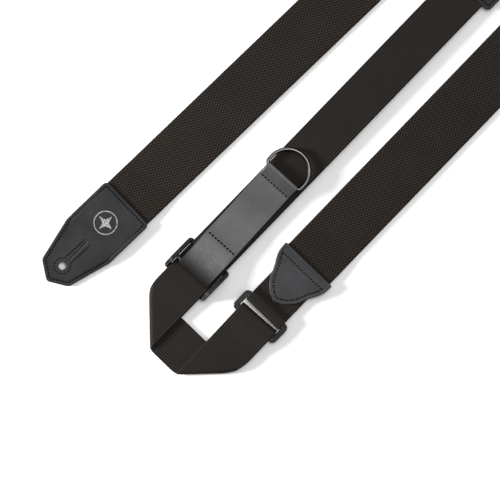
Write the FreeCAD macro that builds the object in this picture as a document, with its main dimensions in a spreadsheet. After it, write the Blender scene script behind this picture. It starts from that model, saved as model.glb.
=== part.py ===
import FreeCAD, Part
import math
import os

import Sketcher
from FreeCAD import Placement, Rotation, Vector

# A guitar strap, laid out flat: +X runs along its straight runs, +Z is up, and the
# origin lies under the middle of the whole strap. Lengths are in millimetres, angles in degrees.
# Places along and across the lay (…_x, …_y) are measured from a point beside the pull tab.

SIZES = (
    ("shoulder_width", 50.0, "wide cotton webbing that lies on the shoulder"),
    ("shoulder_thick", 2.6, ""),
    ("webbing_width", 39.0, "narrow ribbed webbing of the adjusting end"),
    ("webbing_thick", 1.3, ""),
    ("leather_thick", 1.6, "one layer of the end pieces and of the joiner"),
    ("tab_thick", 1.2, "leather of the pull tab"),
    ("thread", 0.8, "width of a row of stitches"),
    ("thread_proud", 0.3, "height of a row of stitches on the leather"),
    ("running_gap", 0.3, "clearance between pieces that slide or turn on each other"),
    ("ply_bend", 6.0, "radius of a gentle bend along a webbing or a tab"),
    ("shoulder_line_y", -45.4, "centre line of the run that meets the joiner"),
    ("adjust_line_y", 21.6, "centre line of the run that carries the adjuster"),
    ("shoulder_cross_x", 337.0, "centre line of the cotton where it crosses over"),
    ("adjust_cross_x", -103.0, "centre line of the narrow webbing where it crosses over"),
    ("slope_run", 34.0, "length over which a run climbs onto a layer below it"),
    ("end_length", 98.0, "leather end piece, from its straight edge to its point"),
    ("end_margin", 1.7, "leather beyond the cotton on each side"),
    ("end_straight", 48.0, "length of its parallel sides"),
    ("end_tip_half", 16.7, "half width where the point begins"),
    ("end_tip_length", 10.5, "length of the point"),
    ("end_corner", 4.0, "corner radius"),
    ("end_insert", 38.0, "length of webbing held between the two leathers"),
    ("end_step", 8.0, "length over which the face closes onto the back"),
    ("end_close", 1.0, "end of the webbing to the start of that step"),
    ("button_radius", 3.3, "hole for the strap button"),
    ("button_setback", 19.0, "centre of that hole from the point"),
    ("slit_width", 0.8, "slit above the button hole"),
    ("slit_clear", 11.0, "end of the webbing to the top of that slit"),
    ("stitch_inset", 3.2, "stitches from the edge of the leather"),
    ("slit_stitch_gap", 3.3, "stitches from the middle of the slit"),
    ("neck_x", -45.0, "straight edge of the neck end's leather"),
    ("neck_y", 105.4, ""),
    ("neck_turn", 2.2, "angle between the neck run and the X axis"),
    ("emblem_setback", 25.0, "middle of the foil emblem from the straight edge"),
    ("emblem_radius", 10.5, ""),
    ("emblem_line", 0.9, "width of the emblem's ring"),
    ("emblem_star", 8.0, "reach of the emblem's star"),
    ("foil_thick", 0.2, ""),
    ("tail_x", 292.0, "straight edge of the tail end's leather"),
    ("joiner_top_x", 26.7, "straight edge of the joiner's leather"),
    ("joiner_length", 45.4, ""),
    ("joiner_margin", 2.8, "leather beyond the cotton at the straight edge"),
    ("joiner_shoulder", 12.0, "straight edge to the shoulder"),
    ("joiner_drop", 1.0, "how much narrower it is at the shoulder"),
    ("joiner_waist", 27.0, "straight edge to the waist"),
    ("joiner_waist_half", 18.2, ""),
    ("joiner_hip", 36.0, "straight edge to the start of the point"),
    ("joiner_hip_half", 15.2, ""),
    ("joiner_corner", 3.5, "corner radius"),
    ("joiner_lap", 12.0, "cotton held inside the joiner"),
    ("ring_x", -35.2, "middle of the shoulder ring"),
    ("ring_y", -46.5, ""),
    ("ring_bar", 6.0, "width of the ring's two bars"),
    ("ring_side", 4.8, "width of its two sides"),
    ("ring_window", 8.8, "clear length between its bars"),
    ("ring_thick", 2.8, ""),
    ("ring_round", 1.1, "edge radius"),
    ("ring_corner", 4.0, "corner radius"),
    ("ring_slack", 1.15, "room above and below a bar in its webbing loop"),
    ("loop_turn", 1.0, "angle between the loop's run to the ring and the X axis"),
    ("slide_low_x", -61.0, "lower end of the adjuster slide"),
    ("slide_length", 34.0, ""),
    ("slide_cheek", 3.8, "width of a cheek"),
    ("slide_slack", 0.6, "webbing to cheek"),
    ("slide_low_bar", 6.0, "length of the bar that the webbing's end is sewn round"),
    ("slide_low_thick", 1.8, ""),
    ("slide_high_bar", 4.4, ""),
    ("slide_high_thick", 2.2, ""),
    ("slide_lip", 0.7, "cheeks at their ends above the running webbing's underside"),
    ("slide_arch", 9.0, "length of the arch's crown"),
    ("cheek_round", 1.9, "corner radius of a cheek, seen from the side"),
    ("cheek_foot", 0.2, "cheek below the low bar"),
    ("crown_cover", 0.6, "plastic above the centre bar"),
    ("centre_bar_radius", 1.4, ""),
    ("centre_bar_x", -47.0, ""),
    ("wrap_slack", 0.65, "centre bar to the leather wrapped round it, which is askew"),
    ("wrap_ply_gap", 0.1, "low bar to the webbing sewn round it"),
    ("end_lap", 11.0, "webbing sewn back on itself, measured from the low bar"),
    ("tack_from", 6.5, "low bar to the first row of that sewing"),
    ("tack_pitch", 3.0, "first row to the second"),
    ("tack_margin", 4.0, "rows from the edge of the webbing"),
    ("tab_width", 33.6, ""),
    ("tab_turn", 1.65, "angle between the tab and the X axis"),
    ("tab_aside", 0.9, "middle of the tab at the centre bar beside the webbing's middle line"),
    ("tab_reach", 112.0, "centre bar to the D-ring's bar"),
    ("tab_low_seam", 34.0, "centre bar to the lower seam"),
    ("tab_high_seam", 102.0, "centre bar to the upper seam"),
    ("seam_margin", 5.0, "folded end beyond a seam"),
    ("seam_length", 27.0, ""),
    ("wire_radius", 1.6, "wire of the D-ring"),
    ("dring_slack", 0.15, "wire to the leather wrapped round it"),
    ("dring_room", 1.0, "room for the tab between its legs"),
    ("dring_leg", 6.9, "straight part of a leg"),
    ("sewn_gap", 0.1, "between lengths that meet end to end"),
    ("ply_gap", 0.02, "between plies that lie on each other"),
    ("cut_height", 60.0, "height of a block that cuts right through"),
    ("cut_depth", 5.0, "where such a block starts, below the surface"),
    ("cut_reach", 100.0, "half width of a side view drawn out sideways"),
    ("origin_x", 0.0, "shift that puts the origin under the middle of the strap"),
    ("origin_y", 0.0, ""),
)

doc = FreeCAD.newDocument("guitar_strap")
sheet = doc.addObject("Spreadsheet::Sheet", "sizes")
for row, (alias, value, note) in enumerate(SIZES, start=1):
    sheet.set(f"A{row}", alias)
    sheet.set(f"B{row}", str(value))
    sheet.set(f"C{row}", note)
    sheet.setAlias(f"B{row}", alias)
doc.recompute()

nodes = []


def size(expression):
    """The present value of a size, or of an expression of sizes."""
    return float(sheet.evalExpression(expression))


def node(feature, name):
    """Makes a feature a sub-part: it gets its name, and moves with the origin."""
    feature.Label = name
    feature.setExpression("Placement.Base.x", "sizes.origin_x")
    feature.setExpression("Placement.Base.y", "sizes.origin_y")
    nodes.append(feature)
    return feature


# --- building blocks -------------------------------------------------------------------

def sketch(name, corners, origin=("0", "0", "0"), heading="0", upright=False):
    """A closed outline through corners given as expressions; upright ones stand in the XZ plane."""
    outline = doc.addObject("Sketcher::SketchObject", name)
    points = [Vector(size(x), size(y), 0) for x, y in corners]
    count = len(points)
    for index, start in enumerate(points):
        outline.addGeometry(Part.LineSegment(start, points[(index + 1) % count]), False)
    for index in range(count):
        outline.addConstraint(Sketcher.Constraint("Coincident", index, 2, (index + 1) % count, 1))
    for index, (corner, point) in enumerate(zip(corners, points)):
        for kind, expression, value in (("DistanceX", corner[0], point.x),
                                        ("DistanceY", corner[1], point.y)):
            number = outline.addConstraint(Sketcher.Constraint(kind, -1, 1, index, 1, value))
            outline.setExpression(f"Constraints[{number}]", expression)
    turn = Rotation(Vector(0, 0, 1), size(heading))
    if upright:
        turn = turn.multiply(Rotation(Vector(1, 0, 0), 90))
    outline.Placement = Placement(Vector(0, 0, 0), turn)
    for axis, expression in zip("xyz", origin):
        outline.setExpression(f"Placement.Base.{axis}", expression)
    return outline


def offset(name, source, distance, fill=False):
    """The outline moved outwards by a distance, or the band between the two when filled."""
    moved = doc.addObject("Part::Offset2D", name)
    moved.Source = source
    moved.Join = "Arc"
    moved.Fill = fill
    moved.setExpression("Value", distance)
    return moved


def rounded(name, source, radius):
    """The outline with its outward corners rounded: moved in, and out again with arcs."""
    return offset(f"{name}_rounded", offset(f"{name}_shrunk", source, f"-({radius})"), radius)


def extrusion(name, source, length, direction=(0, 0, 1)):
    solid = doc.addObject("Part::Extrusion", name)
    solid.Base = source
    solid.DirMode = "Custom"
    solid.Dir = Vector(*direction)
    solid.Solid = True
    solid.setExpression("LengthFwd", length)
    return solid


def primitive(kind, name, sizes, place=("0", "0", "0"), rotation=None):
    """A Part box, cylinder, torus or sphere with its sizes and place bound to the sheet."""
    solid = doc.addObject(f"Part::{kind}", name)
    solid.Placement = Placement(Vector(0, 0, 0), rotation or Rotation())
    for key, expression in sizes.items():
        solid.setExpression(key, expression)
    for axis, expression in zip("xyz", place):
        solid.setExpression(f"Placement.Base.{axis}", expression)
    return solid


def boolean(kind, name, base, tool):
    result = doc.addObject(f"Part::{kind}", name)
    result.Base = base
    result.Tool = tool
    return result


def fused(name, shapes):
    union = doc.addObject("Part::MultiFuse", name)
    union.Shapes = shapes
    union.Refine = True
    return union


def turned_by(feature, angle, base_x, base_y):
    """Turns a feature about the Z axis through a point of the lay, and keeps it on the origin."""
    feature.Placement = Placement(Vector(0, 0, 0), Rotation(Vector(0, 0, 1), size(angle)))
    feature.setExpression("Placement.Base.x", f"sizes.origin_x + {base_x}")
    feature.setExpression("Placement.Base.y", f"sizes.origin_y + {base_y}")


# --- flexible strips -------------------------------------------------------------------

def strip_outline(path, thickness):
    """The side view of a strip: its middle line is straight between corners (s, z, radius)."""
    pieces = []
    at = Vector(*path[0][:2])
    for before, corner, after in zip(path, path[1:], path[2:]):
        middle = Vector(*corner[:2])
        inward = (middle - Vector(*before[:2])).normalize()
        outward = (Vector(*after[:2]) - middle).normalize()
        turn = inward.getAngle(outward)
        side = 1 if inward.cross(outward).z > 0 else -1
        reach = corner[2] * math.tan(turn / 2)
        start = middle - inward * reach
        centre = start + Vector(-inward.y, inward.x, 0) * (side * corner[2])
        end = middle + outward * reach
        halfway = centre + (middle - centre).normalize() * corner[2]
        pieces.append((side, centre, corner[2], (at, start), (start, halfway, end)))
        at = end
    last = Vector(*path[-1][:2])

    def edges(shift):
        made = []
        here = None
        for side, centre, radius, line, arc in pieces:
            scale = (radius - side * shift) / radius
            arc_points = [centre + (point - centre) * scale for point in arc]
            if here is None:
                run = (line[1] - line[0]).normalize()
                here = line[0] + Vector(-run.y, run.x, 0) * shift
            if (arc_points[0] - here).Length > 1e-6:
                made.append(Part.LineSegment(here, arc_points[0]).toShape())
            made.append(Part.Arc(*arc_points).toShape())
            here = arc_points[2]
        run = (last - at).normalize()
        aside = Vector(-run.y, run.x, 0) * shift
        made.append(Part.LineSegment(at + aside if here is None else here, last + aside).toShape())
        return made

    upper, lower = edges(thickness / 2), edges(-thickness / 2)
    first_gap = (upper[0].Vertexes[0].Point, lower[0].Vertexes[0].Point)
    last_gap = (upper[-1].Vertexes[-1].Point, lower[-1].Vertexes[-1].Point)
    caps = [Part.LineSegment(*gap).toShape() for gap in (first_gap, last_gap)]
    return Part.Face(Part.Wire(Part.__sortEdges__(upper + lower + caps)))


def strip(path, thickness, width, base=(0, 0), heading=0.0):
    """A strip lying flat: it starts at base, runs along heading, and follows path up and down."""
    solid = strip_outline(path, thickness).extrude(Vector(0, 0, width))
    solid.translate(Vector(0, 0, -width / 2))
    solid.rotate(Vector(0, 0, 0), Vector(1, 0, 0), 90)
    solid.rotate(Vector(0, 0, 0), Vector(0, 0, 1), heading)
    solid.translate(Vector(*base, 0))
    return solid


def beyond(point, direction):
    """Everything on the left of a line in plan, as one block longer than the whole strap."""
    reach = 2000.0
    block = Part.makeBox(reach, reach / 2, reach, Vector(-reach / 2, 0, -reach / 2))
    block.rotate(Vector(0, 0, 0), Vector(0, 0, 1), direction)
    block.translate(Vector(*point, 0))
    return block


def shape_node(name, shape):
    """A sub-part of a flexible strip, whose folds no sketch or primitive can make."""
    feature = doc.addObject("Part::Feature", name)
    feature.Shape = Part.Compound([shape])
    return node(feature, name)


# --- levels above the surface that the strap lies on ------------------------------------

leather, cotton, ply = size("sizes.leather_thick"), size("sizes.shoulder_thick"), size("sizes.webbing_thick")
gap = size("sizes.running_gap")
bend = size("sizes.ply_bend")
slope = size("sizes.slope_run")
insert_z = leather + cotton / 2
ring_z = 3 * ply

sheet_levels = (
    ("running_z",
     "sizes.webbing_thick * 2 + sizes.slide_low_thick + 2 * sizes.wrap_ply_gap + sizes.running_gap"),
    ("wrap_radius", "sizes.centre_bar_radius + sizes.wrap_slack + sizes.tab_thick"),
    ("tab_z", "sizes.running_z + sizes.webbing_thick + sizes.running_gap"),
    ("centre_bar_z", "sizes.tab_z + sizes.wrap_radius"),
    ("dring_radius", "sizes.wire_radius + sizes.dring_slack + sizes.tab_thick"),
    ("dring_z", "sizes.tab_z + sizes.dring_radius"),
    ("low_bar_z", "sizes.webbing_thick + sizes.wrap_ply_gap"),
    ("tail_z", "sizes.shoulder_thick + sizes.running_gap"),
    ("ring_half", "sizes.webbing_width / 2 + sizes.slide_slack"),
    ("end_half_width", "sizes.shoulder_width / 2 + sizes.end_margin"),
    ("joiner_top_half", "sizes.shoulder_width / 2 + sizes.joiner_margin"),
    ("slit_length", "sizes.end_length - sizes.button_setback - sizes.end_insert - sizes.slit_clear"),
    ("joiner_insert", "max(sizes.shoulder_thick; 2 * sizes.webbing_thick)"),
    ("slide_end_height", "sizes.running_z + sizes.slide_lip"),
    ("dring_width", "sizes.tab_width + 2 * sizes.wire_radius + sizes.dring_room"),
)
for row, (alias, formula) in enumerate(sheet_levels, start=len(SIZES) + 1):
    sheet.set(f"A{row}", alias)
    sheet.set(f"B{row}", "=" + formula.replace("sizes.", ""))
    sheet.setAlias(f"B{row}", alias)
doc.recompute()


# --- leather end pieces, at the neck and at the tail -------------------------------------

END_CORNERS = [
    ("0", "-sizes.end_half_width"),
    ("sizes.end_straight", "-sizes.end_half_width"),
    ("sizes.end_length - sizes.end_tip_length", "-sizes.end_tip_half"),
    ("sizes.end_length", "0"),
    ("sizes.end_length - sizes.end_tip_length", "sizes.end_tip_half"),
    ("sizes.end_straight", "sizes.end_half_width"),
    ("0", "sizes.end_half_width"),
]
HOLE_X = "sizes.end_length - sizes.button_setback"


def end_piece(name, base_z, insert, heading, base_x, base_y):
    """Two leathers with webbing between them, and the stitches that hold all three."""
    def button_cut(part, solid):
        hole = primitive("Cylinder", f"{name}_{part}_hole",
                         {"Radius": "sizes.button_radius", "Height": "sizes.cut_height"},
                         (HOLE_X, "0", "-sizes.cut_height / 2"))
        slit = primitive("Box", f"{name}_{part}_slit",
                         {"Length": "sizes.slit_length", "Width": "sizes.slit_width",
                          "Height": "sizes.cut_height"},
                         (f"{HOLE_X} - sizes.slit_length", "-sizes.slit_width / 2", "-sizes.cut_height / 2"))
        tools = fused(f"{name}_{part}_button_cut", [hole, slit])
        return boolean("Cut", f"{name}_{part}_leather", solid, tools)

    def placed(feature, label):
        node(feature, label)
        turned_by(feature, heading, base_x, base_y)

    def outline(part, floor="0"):
        flat = sketch(f"{name}_{part}_outline", END_CORNERS, ("0", "0", floor))
        return rounded(f"{name}_{part}", flat, "sizes.end_corner")

    back = extrusion(f"{name}_back_plate", outline("back", base_z), "sizes.leather_thick")
    placed(button_cut("back", back), f"{name}_leather_back")

    low, step = f"{base_z} + sizes.leather_thick", "sizes.end_insert + sizes.end_close"
    before, past = "-sizes.end_close", "sizes.end_length + sizes.end_close"
    high = f"{low} + {insert}"
    side = sketch(f"{name}_face_side", [
        (before, high), (step, high), (f"{step} + sizes.end_step", low), (past, low),
        (past, f"{low} + sizes.leather_thick"),
        (f"{step} + sizes.end_step", f"{low} + sizes.leather_thick"),
        (step, f"{high} + sizes.leather_thick"), (before, f"{high} + sizes.leather_thick"),
    ], ("0", "sizes.cut_reach", "0"), upright=True)
    bent = extrusion(f"{name}_face_bent", side, "2 * sizes.cut_reach", (0, -1, 0))
    column = extrusion(f"{name}_face_column", outline("face", "-sizes.cut_depth"), "sizes.cut_height")
    face = boolean("Common", f"{name}_face_plate", bent, column)
    placed(button_cut("face", face), f"{name}_leather_face")

    edge = outline("stitches", "-sizes.cut_depth")
    row = offset(f"{name}_stitch_line", edge, "-sizes.stitch_inset")
    band = offset(f"{name}_stitch_band", row, "-sizes.thread", fill=True)
    wall = extrusion(f"{name}_stitch_wall", band, "sizes.cut_height")
    around = primitive("Cylinder", f"{name}_keyhole_round",
                       {"Radius": "sizes.button_radius + sizes.slit_stitch_gap",
                        "Height": "sizes.cut_height"},
                       (HOLE_X, "0", "-sizes.cut_depth"))
    within = primitive("Cylinder", f"{name}_keyhole_inside",
                       {"Radius": "sizes.button_radius + sizes.slit_stitch_gap - sizes.thread",
                        "Height": "sizes.cut_height"}, (HOLE_X, "0", "-sizes.cut_depth"))
    keyhole = boolean("Cut", f"{name}_keyhole_ring", around, within)
    rows = [primitive("Box", f"{name}_slit_row_{label}",
                      {"Length": "sizes.slit_length - sizes.button_radius * 2", "Width": "sizes.thread",
                       "Height": "sizes.cut_height"},
                      (f"{HOLE_X} - sizes.slit_length", place, "-sizes.cut_depth"))
            for label, place in (("left", "sizes.slit_stitch_gap"),
                                 ("right", "-sizes.slit_stitch_gap - sizes.thread"))]
    walls = fused(f"{name}_stitch_walls", [wall, keyhole] + rows)
    skin = sketch(f"{name}_stitch_side", [
        (before, f"{high} + sizes.leather_thick"), (step, f"{high} + sizes.leather_thick"),
        (f"{step} + sizes.end_step", f"{low} + sizes.leather_thick"),
        (past, f"{low} + sizes.leather_thick"),
        (past, f"{low} + sizes.leather_thick + sizes.thread_proud"),
        (f"{step} + sizes.end_step", f"{low} + sizes.leather_thick + sizes.thread_proud"),
        (step, f"{high} + sizes.leather_thick + sizes.thread_proud"),
        (before, f"{high} + sizes.leather_thick + sizes.thread_proud"),
    ], ("0", "sizes.cut_reach", "0"), upright=True)
    layer = extrusion(f"{name}_stitch_layer", skin, "2 * sizes.cut_reach", (0, -1, 0))
    placed(boolean("Common", f"{name}_stitch_rows", layer, walls), f"{name}_stitching")


end_piece("neck", "0", "sizes.shoulder_thick", "180 - sizes.neck_turn", "sizes.neck_x", "sizes.neck_y")
end_piece("tail", "sizes.tail_z", "sizes.webbing_thick", "0", "sizes.tail_x", "sizes.adjust_line_y")

# The neck end carries a foil-stamped emblem: a ring round a four-pointed star.
foil_z = "2 * sizes.leather_thick + sizes.shoulder_thick"
disc = primitive("Cylinder", "emblem_disc", {"Radius": "sizes.emblem_radius", "Height": "sizes.foil_thick"},
                 ("sizes.emblem_setback", "0", foil_z))
hollow = primitive("Cylinder", "emblem_hollow",
                   {"Radius": "sizes.emblem_radius - sizes.emblem_line", "Height": "sizes.foil_thick"},
                   ("sizes.emblem_setback", "0", foil_z))
reach, waist = "sizes.emblem_star", "sizes.emblem_star / 4"
star = sketch("emblem_star_outline", [
    (reach, "0"), (waist, waist), ("0", reach), (f"-{waist}", waist),
    (f"-{reach}", "0"), (f"-{waist}", f"-{waist}"), ("0", f"-{reach}"), (waist, f"-{waist}"),
], ("sizes.emblem_setback", "0", foil_z))
emblem = fused("emblem_foil", [boolean("Cut", "emblem_ring", disc, hollow),
                               extrusion("emblem_star", star, "sizes.foil_thick")])
node(emblem, "foil_emblem")
turned_by(emblem, "180 - sizes.neck_turn", "sizes.neck_x", "sizes.neck_y")


# --- leather joiner between the cotton and the shoulder ring ------------------------------

JOINER_CORNERS = [
    ("0", "-sizes.joiner_top_half"), ("sizes.joiner_shoulder", "-sizes.joiner_top_half + sizes.joiner_drop"),
    ("sizes.joiner_waist", "-sizes.joiner_waist_half"), ("sizes.joiner_hip", "-sizes.joiner_hip_half"),
    ("sizes.joiner_length", "0"), ("sizes.joiner_hip", "sizes.joiner_hip_half"),
    ("sizes.joiner_waist", "sizes.joiner_waist_half"),
    ("sizes.joiner_shoulder", "sizes.joiner_top_half - sizes.joiner_drop"), ("0", "sizes.joiner_top_half"),
]


def joiner_piece(part, floor, thickness, stitches=False):
    flat = sketch(f"joiner_{part}_outline", JOINER_CORNERS, ("0", "0", floor))
    shape = rounded(f"joiner_{part}", flat, "sizes.joiner_corner")
    if stitches:
        line = offset("joiner_stitch_line", shape, "-sizes.stitch_inset")
        shape = offset("joiner_stitch_band", line, "-sizes.thread", fill=True)
    solid = node(extrusion(f"joiner_{part}_solid", shape, thickness), f"joiner_{part}")
    turned_by(solid, "180", "sizes.joiner_top_x", "sizes.shoulder_line_y")


joiner_piece("leather_back", "0", "sizes.leather_thick")
joiner_piece("leather_face", "sizes.leather_thick + sizes.joiner_insert", "sizes.leather_thick")
joiner_piece("stitching", "2 * sizes.leather_thick + sizes.joiner_insert", "sizes.thread_proud", True)


# --- webbings ---------------------------------------------------------------------------

shoulder_y, adjust_y = size("sizes.shoulder_line_y"), size("sizes.adjust_line_y")
shoulder_cross, adjust_cross = size("sizes.shoulder_cross_x"), size("sizes.adjust_cross_x")
wide, narrow = size("sizes.shoulder_width"), size("sizes.webbing_width")


def slope_path(stops):
    """A strip's path through levels (s, z), with a gentle bend at each change of slope."""
    inner = [(s, z, bend) for s, z in stops[1:-1]]
    return [(*stops[0], 0)] + inner + [(*stops[-1], 0)]


def crossing(x, width, low_y, high_y, thickness):
    return Part.makeBox(width, high_y - low_y, thickness, Vector(x - width / 2, low_y, 0))


# The cotton is one piece: joiner, long run, fold, crossing, fold, long run, neck end.
start_x = size("sizes.joiner_top_x - sizes.joiner_lap")
clear_x = size("sizes.joiner_top_x") + bend / 2
cross_edge = shoulder_cross - wide / 2
held_z = leather + size("sizes.joiner_insert") / 2
joiner_run = strip(slope_path([
    (0, held_z), (clear_x - start_x, held_z), (clear_x - start_x + slope, cotton / 2),
    (cross_edge - slope - start_x, cotton / 2), (cross_edge - start_x, 1.5 * cotton),
    (shoulder_cross + wide - start_x, 1.5 * cotton)]), cotton, wide, (start_x, shoulder_y))
neck_turn = size("sizes.neck_turn")
neck_heading = 180 - neck_turn
neck_way = Vector(math.cos(math.radians(neck_heading)), math.sin(math.radians(neck_heading)), 0)
neck_edge = Vector(size("sizes.neck_x"), size("sizes.neck_y"), 0)
neck_length = (neck_edge.x - shoulder_cross) / neck_way.x
fold_point = neck_edge - neck_way * neck_length
lead = wide
neck_base = fold_point - neck_way * lead
rise_end = lead + (fold_point.x - cross_edge) / -neck_way.x + wide / 2 * math.sin(math.radians(neck_turn))
neck_end = lead + neck_length
neck_run = strip(slope_path([
    (0, 1.5 * cotton), (rise_end, 1.5 * cotton), (rise_end + slope, cotton / 2),
    (neck_end - slope - bend, cotton / 2), (neck_end - bend, insert_z),
    (neck_end + size("sizes.end_insert"), insert_z)]), cotton, wide, (neck_base.x, neck_base.y), neck_heading)
first_fold = beyond((shoulder_cross, shoulder_y), 225)
second_fold = beyond((fold_point.x, fold_point.y), (90 + neck_heading) / 2 + 180)
turnover = crossing(shoulder_cross, wide, shoulder_y - wide, fold_point.y + wide, cotton)
cotton_shape = turnover.cut(first_fold).cut(second_fold).fuse(
    [joiner_run.cut(first_fold), neck_run.cut(second_fold)]).removeSplitter()
shape_node("shoulder_webbing", cotton_shape)

# The anchor webbing: two plies from the joiner that part round the ring's upper bar.
ring_x, ring_y = size("sizes.ring_x"), size("sizes.ring_y")
window = size("sizes.ring_window")
bar = size("sizes.ring_bar")
eye = size("sizes.ring_thick / 2 + sizes.ring_slack + sizes.webbing_thick / 2")
bar_nose = eye - ply / 2 - size("sizes.ring_slack") / 2
join_gap, ply_gap = size("sizes.sewn_gap"), size("sizes.ply_gap")
turned = 0.999      # share of a half turn's radius, so that a trace of straight is left in it


def ring_loop(length, level, part_at, open_at, radius):
    """A ply that leaves the middle of a doubled webbing, goes round a bar and comes back."""
    nose = length + eye
    apart = ply / 2
    return strip([(0, level + apart, 0), (part_at, level + apart, radius),
                  (open_at, ring_z + eye, radius), (nose, ring_z + eye, eye * turned),
                  (nose, ring_z - eye, eye * turned), (open_at, ring_z - eye, radius),
                  (part_at, level - apart, radius), (0, level - apart, 0)], ply - 2 * ply_gap, narrow)


anchor_start = start_x - join_gap
tight, aside = 2.0, 0.8       # bend of the short loop, and its middle line beside the cotton's
upper_eye_x = ring_x + window / 2 + bar_nose
upper_bar_x = ring_x + window / 2 + bar
joiner_end_x = size("sizes.joiner_top_x - sizes.joiner_length")
anchor = ring_loop(anchor_start - upper_eye_x, held_z, anchor_start - joiner_end_x + aside,
                   anchor_start - upper_bar_x - size("sizes.ring_slack"), tight)
anchor.rotate(Vector(0, 0, 0), Vector(0, 0, 1), 180)
anchor.translate(Vector(anchor_start, shoulder_y - aside, 0))
shape_node("anchor_webbing", anchor)

# The adjusting webbing: doubled from the ring to its second fold, single from there to the tail.
loop_turn = size("sizes.loop_turn")
lower_eye_x = ring_x - window / 2 - bar_nose
loop_way = Vector(math.cos(math.radians(loop_turn)), math.sin(math.radians(loop_turn)), 0)
loop_far = Vector(adjust_cross, ring_y - (ring_x - adjust_cross) * math.tan(math.radians(loop_turn)), 0)
base = loop_far - loop_way * narrow
double_length = (lower_eye_x - base.x) / loop_way.x
ring_run = ring_loop(double_length, ring_z, double_length - bar - slope / 2, double_length - bar, bend)
ring_run.rotate(Vector(0, 0, 0), Vector(0, 0, 1), loop_turn)
ring_run.translate(base)
pressed = strip([(0, ring_z, 0), (1.5 * narrow, ring_z, 0)], 2 * ply, narrow, (base.x, base.y), loop_turn)
ring_run = ring_run.fuse(pressed)      # the two plies lie tight on each other over the crossing
low_fold = beyond((loop_far.x, loop_far.y), 90 + (90 + loop_turn) / 2)
high_fold = beyond((adjust_cross, adjust_y), 45)
adjust_turnover = crossing(adjust_cross, narrow, loop_far.y - narrow, adjust_y + narrow, 2 * ply)
running_z = size("sizes.running_z") + ply / 2
tail_level = size("sizes.tail_z + sizes.leather_thick") + ply / 2
fold_edge = adjust_cross + narrow / 2
slide_low = size("sizes.slide_low_x")
tail_edge = size("sizes.tail_x")
run_base = adjust_cross - narrow
double_end = fold_edge + tight / 2
doubled = strip([(0, ring_z, 0), (double_end - run_base, ring_z, 0)], 2 * ply, narrow, (run_base, adjust_y))
running = strip(slope_path([
    (0, ring_z + ply / 2), (fold_edge - run_base, ring_z + ply / 2),
    (slide_low - 2 * ply - run_base, running_z), (tail_edge - slope - run_base, running_z),
    (tail_edge - bend - run_base, tail_level),
    (tail_edge + size("sizes.end_insert") - run_base, tail_level)]), ply, narrow, (run_base, adjust_y))
adjusting = adjust_turnover.cut(low_fold).cut(high_fold).fuse(
    [ring_run.cut(low_fold), doubled.cut(high_fold), running.cut(high_fold)]).removeSplitter()
shape_node("adjusting_webbing", adjusting)

# Its end comes back under the run, goes round the slide's low bar and is sewn to itself.
low_bar = size("sizes.slide_low_bar")
low_bar_middle = size("sizes.low_bar_z + sizes.slide_low_thick / 2")
wrap_rise = size("sizes.slide_low_thick / 2 + sizes.wrap_ply_gap + sizes.webbing_thick / 2")
end_start = double_end + join_gap
nose_x = slide_low + low_bar + wrap_rise
lap = size("sizes.end_lap")
lap_level = low_bar_middle - wrap_rise + ply + 2 * ply_gap
drop_at, bar_clear, lap_at = end_start + 9.0, slide_low - 1.2, slide_low - 4.0
webbing_end = strip([
    (end_start, ring_z - ply / 2, 0), (end_start + tight, ring_z - ply / 2, tight),
    (drop_at, low_bar_middle - wrap_rise, tight), (nose_x, low_bar_middle - wrap_rise, wrap_rise * turned),
    (nose_x, low_bar_middle + wrap_rise, wrap_rise * turned),
    (bar_clear, low_bar_middle + wrap_rise, tight), (lap_at, lap_level, tight),
    (slide_low - lap, lap_level, 0)], ply, narrow, (0, adjust_y))
shape_node("webbing_end", webbing_end)
first_row, tack_margin = size("sizes.tack_from"), size("sizes.tack_margin")
tack = [Part.makeBox(size("sizes.thread"), narrow - 2 * tack_margin, size("sizes.thread_proud"),
                     Vector(slide_low - place, adjust_y - narrow / 2 + tack_margin, lap_level + ply / 2))
        for place in (first_row, first_row + size("sizes.tack_pitch"))]
shape_node("webbing_end_stitching", Part.Compound(tack))


# --- shoulder ring ------------------------------------------------------------------------

ring_body = doc.addObject("PartDesign::Body", "shoulder_ring_body")
frame_sketch = ring_body.newObject("Sketcher::SketchObject", "ring_outline")
plane = next(item for item in ring_body.Origin.OriginFeatures if item.Role == "XY_Plane")
frame_sketch.AttachmentSupport = [(plane, "")]
frame_sketch.MapMode = "FlatFace"
inner = ("sizes.ring_window / 2", "sizes.ring_half")
outer = ("sizes.ring_window / 2 + sizes.ring_bar", "sizes.ring_half + sizes.ring_side")
for turn, (half_x, half_y) in enumerate((outer, inner)):
    signs = ((1, 1), (-1, 1), (-1, -1), (1, -1))
    spots = [Vector(sx * size(half_x), sy * size(half_y), 0) for sx, sy in signs]
    first = 4 * turn
    for index in range(4):
        frame_sketch.addGeometry(Part.LineSegment(spots[index], spots[(index + 1) % 4]), False)
    for index in range(4):
        frame_sketch.addConstraint(
            Sketcher.Constraint("Coincident", first + index, 2, first + (index + 1) % 4, 1))
    for index, (sx, sy) in enumerate(signs):
        for kind, sign, half, value in (("DistanceX", sx, half_x, spots[index].x),
                                        ("DistanceY", sy, half_y, spots[index].y)):
            number = frame_sketch.addConstraint(
                Sketcher.Constraint(kind, -1, 1, first + index, 1, value))
            frame_sketch.setExpression(f"Constraints[{number}]", f"{sign} * ({half})")
pad = ring_body.newObject("PartDesign::Pad", "ring_pad")
pad.Profile = frame_sketch
pad.setExpression("Length", "sizes.ring_thick")
pad.Midplane = True
doc.recompute()


def named_edges(shape, wanted):
    return [f"Edge{number}" for number, edge in enumerate(shape.Edges, start=1) if wanted(edge)]


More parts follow.
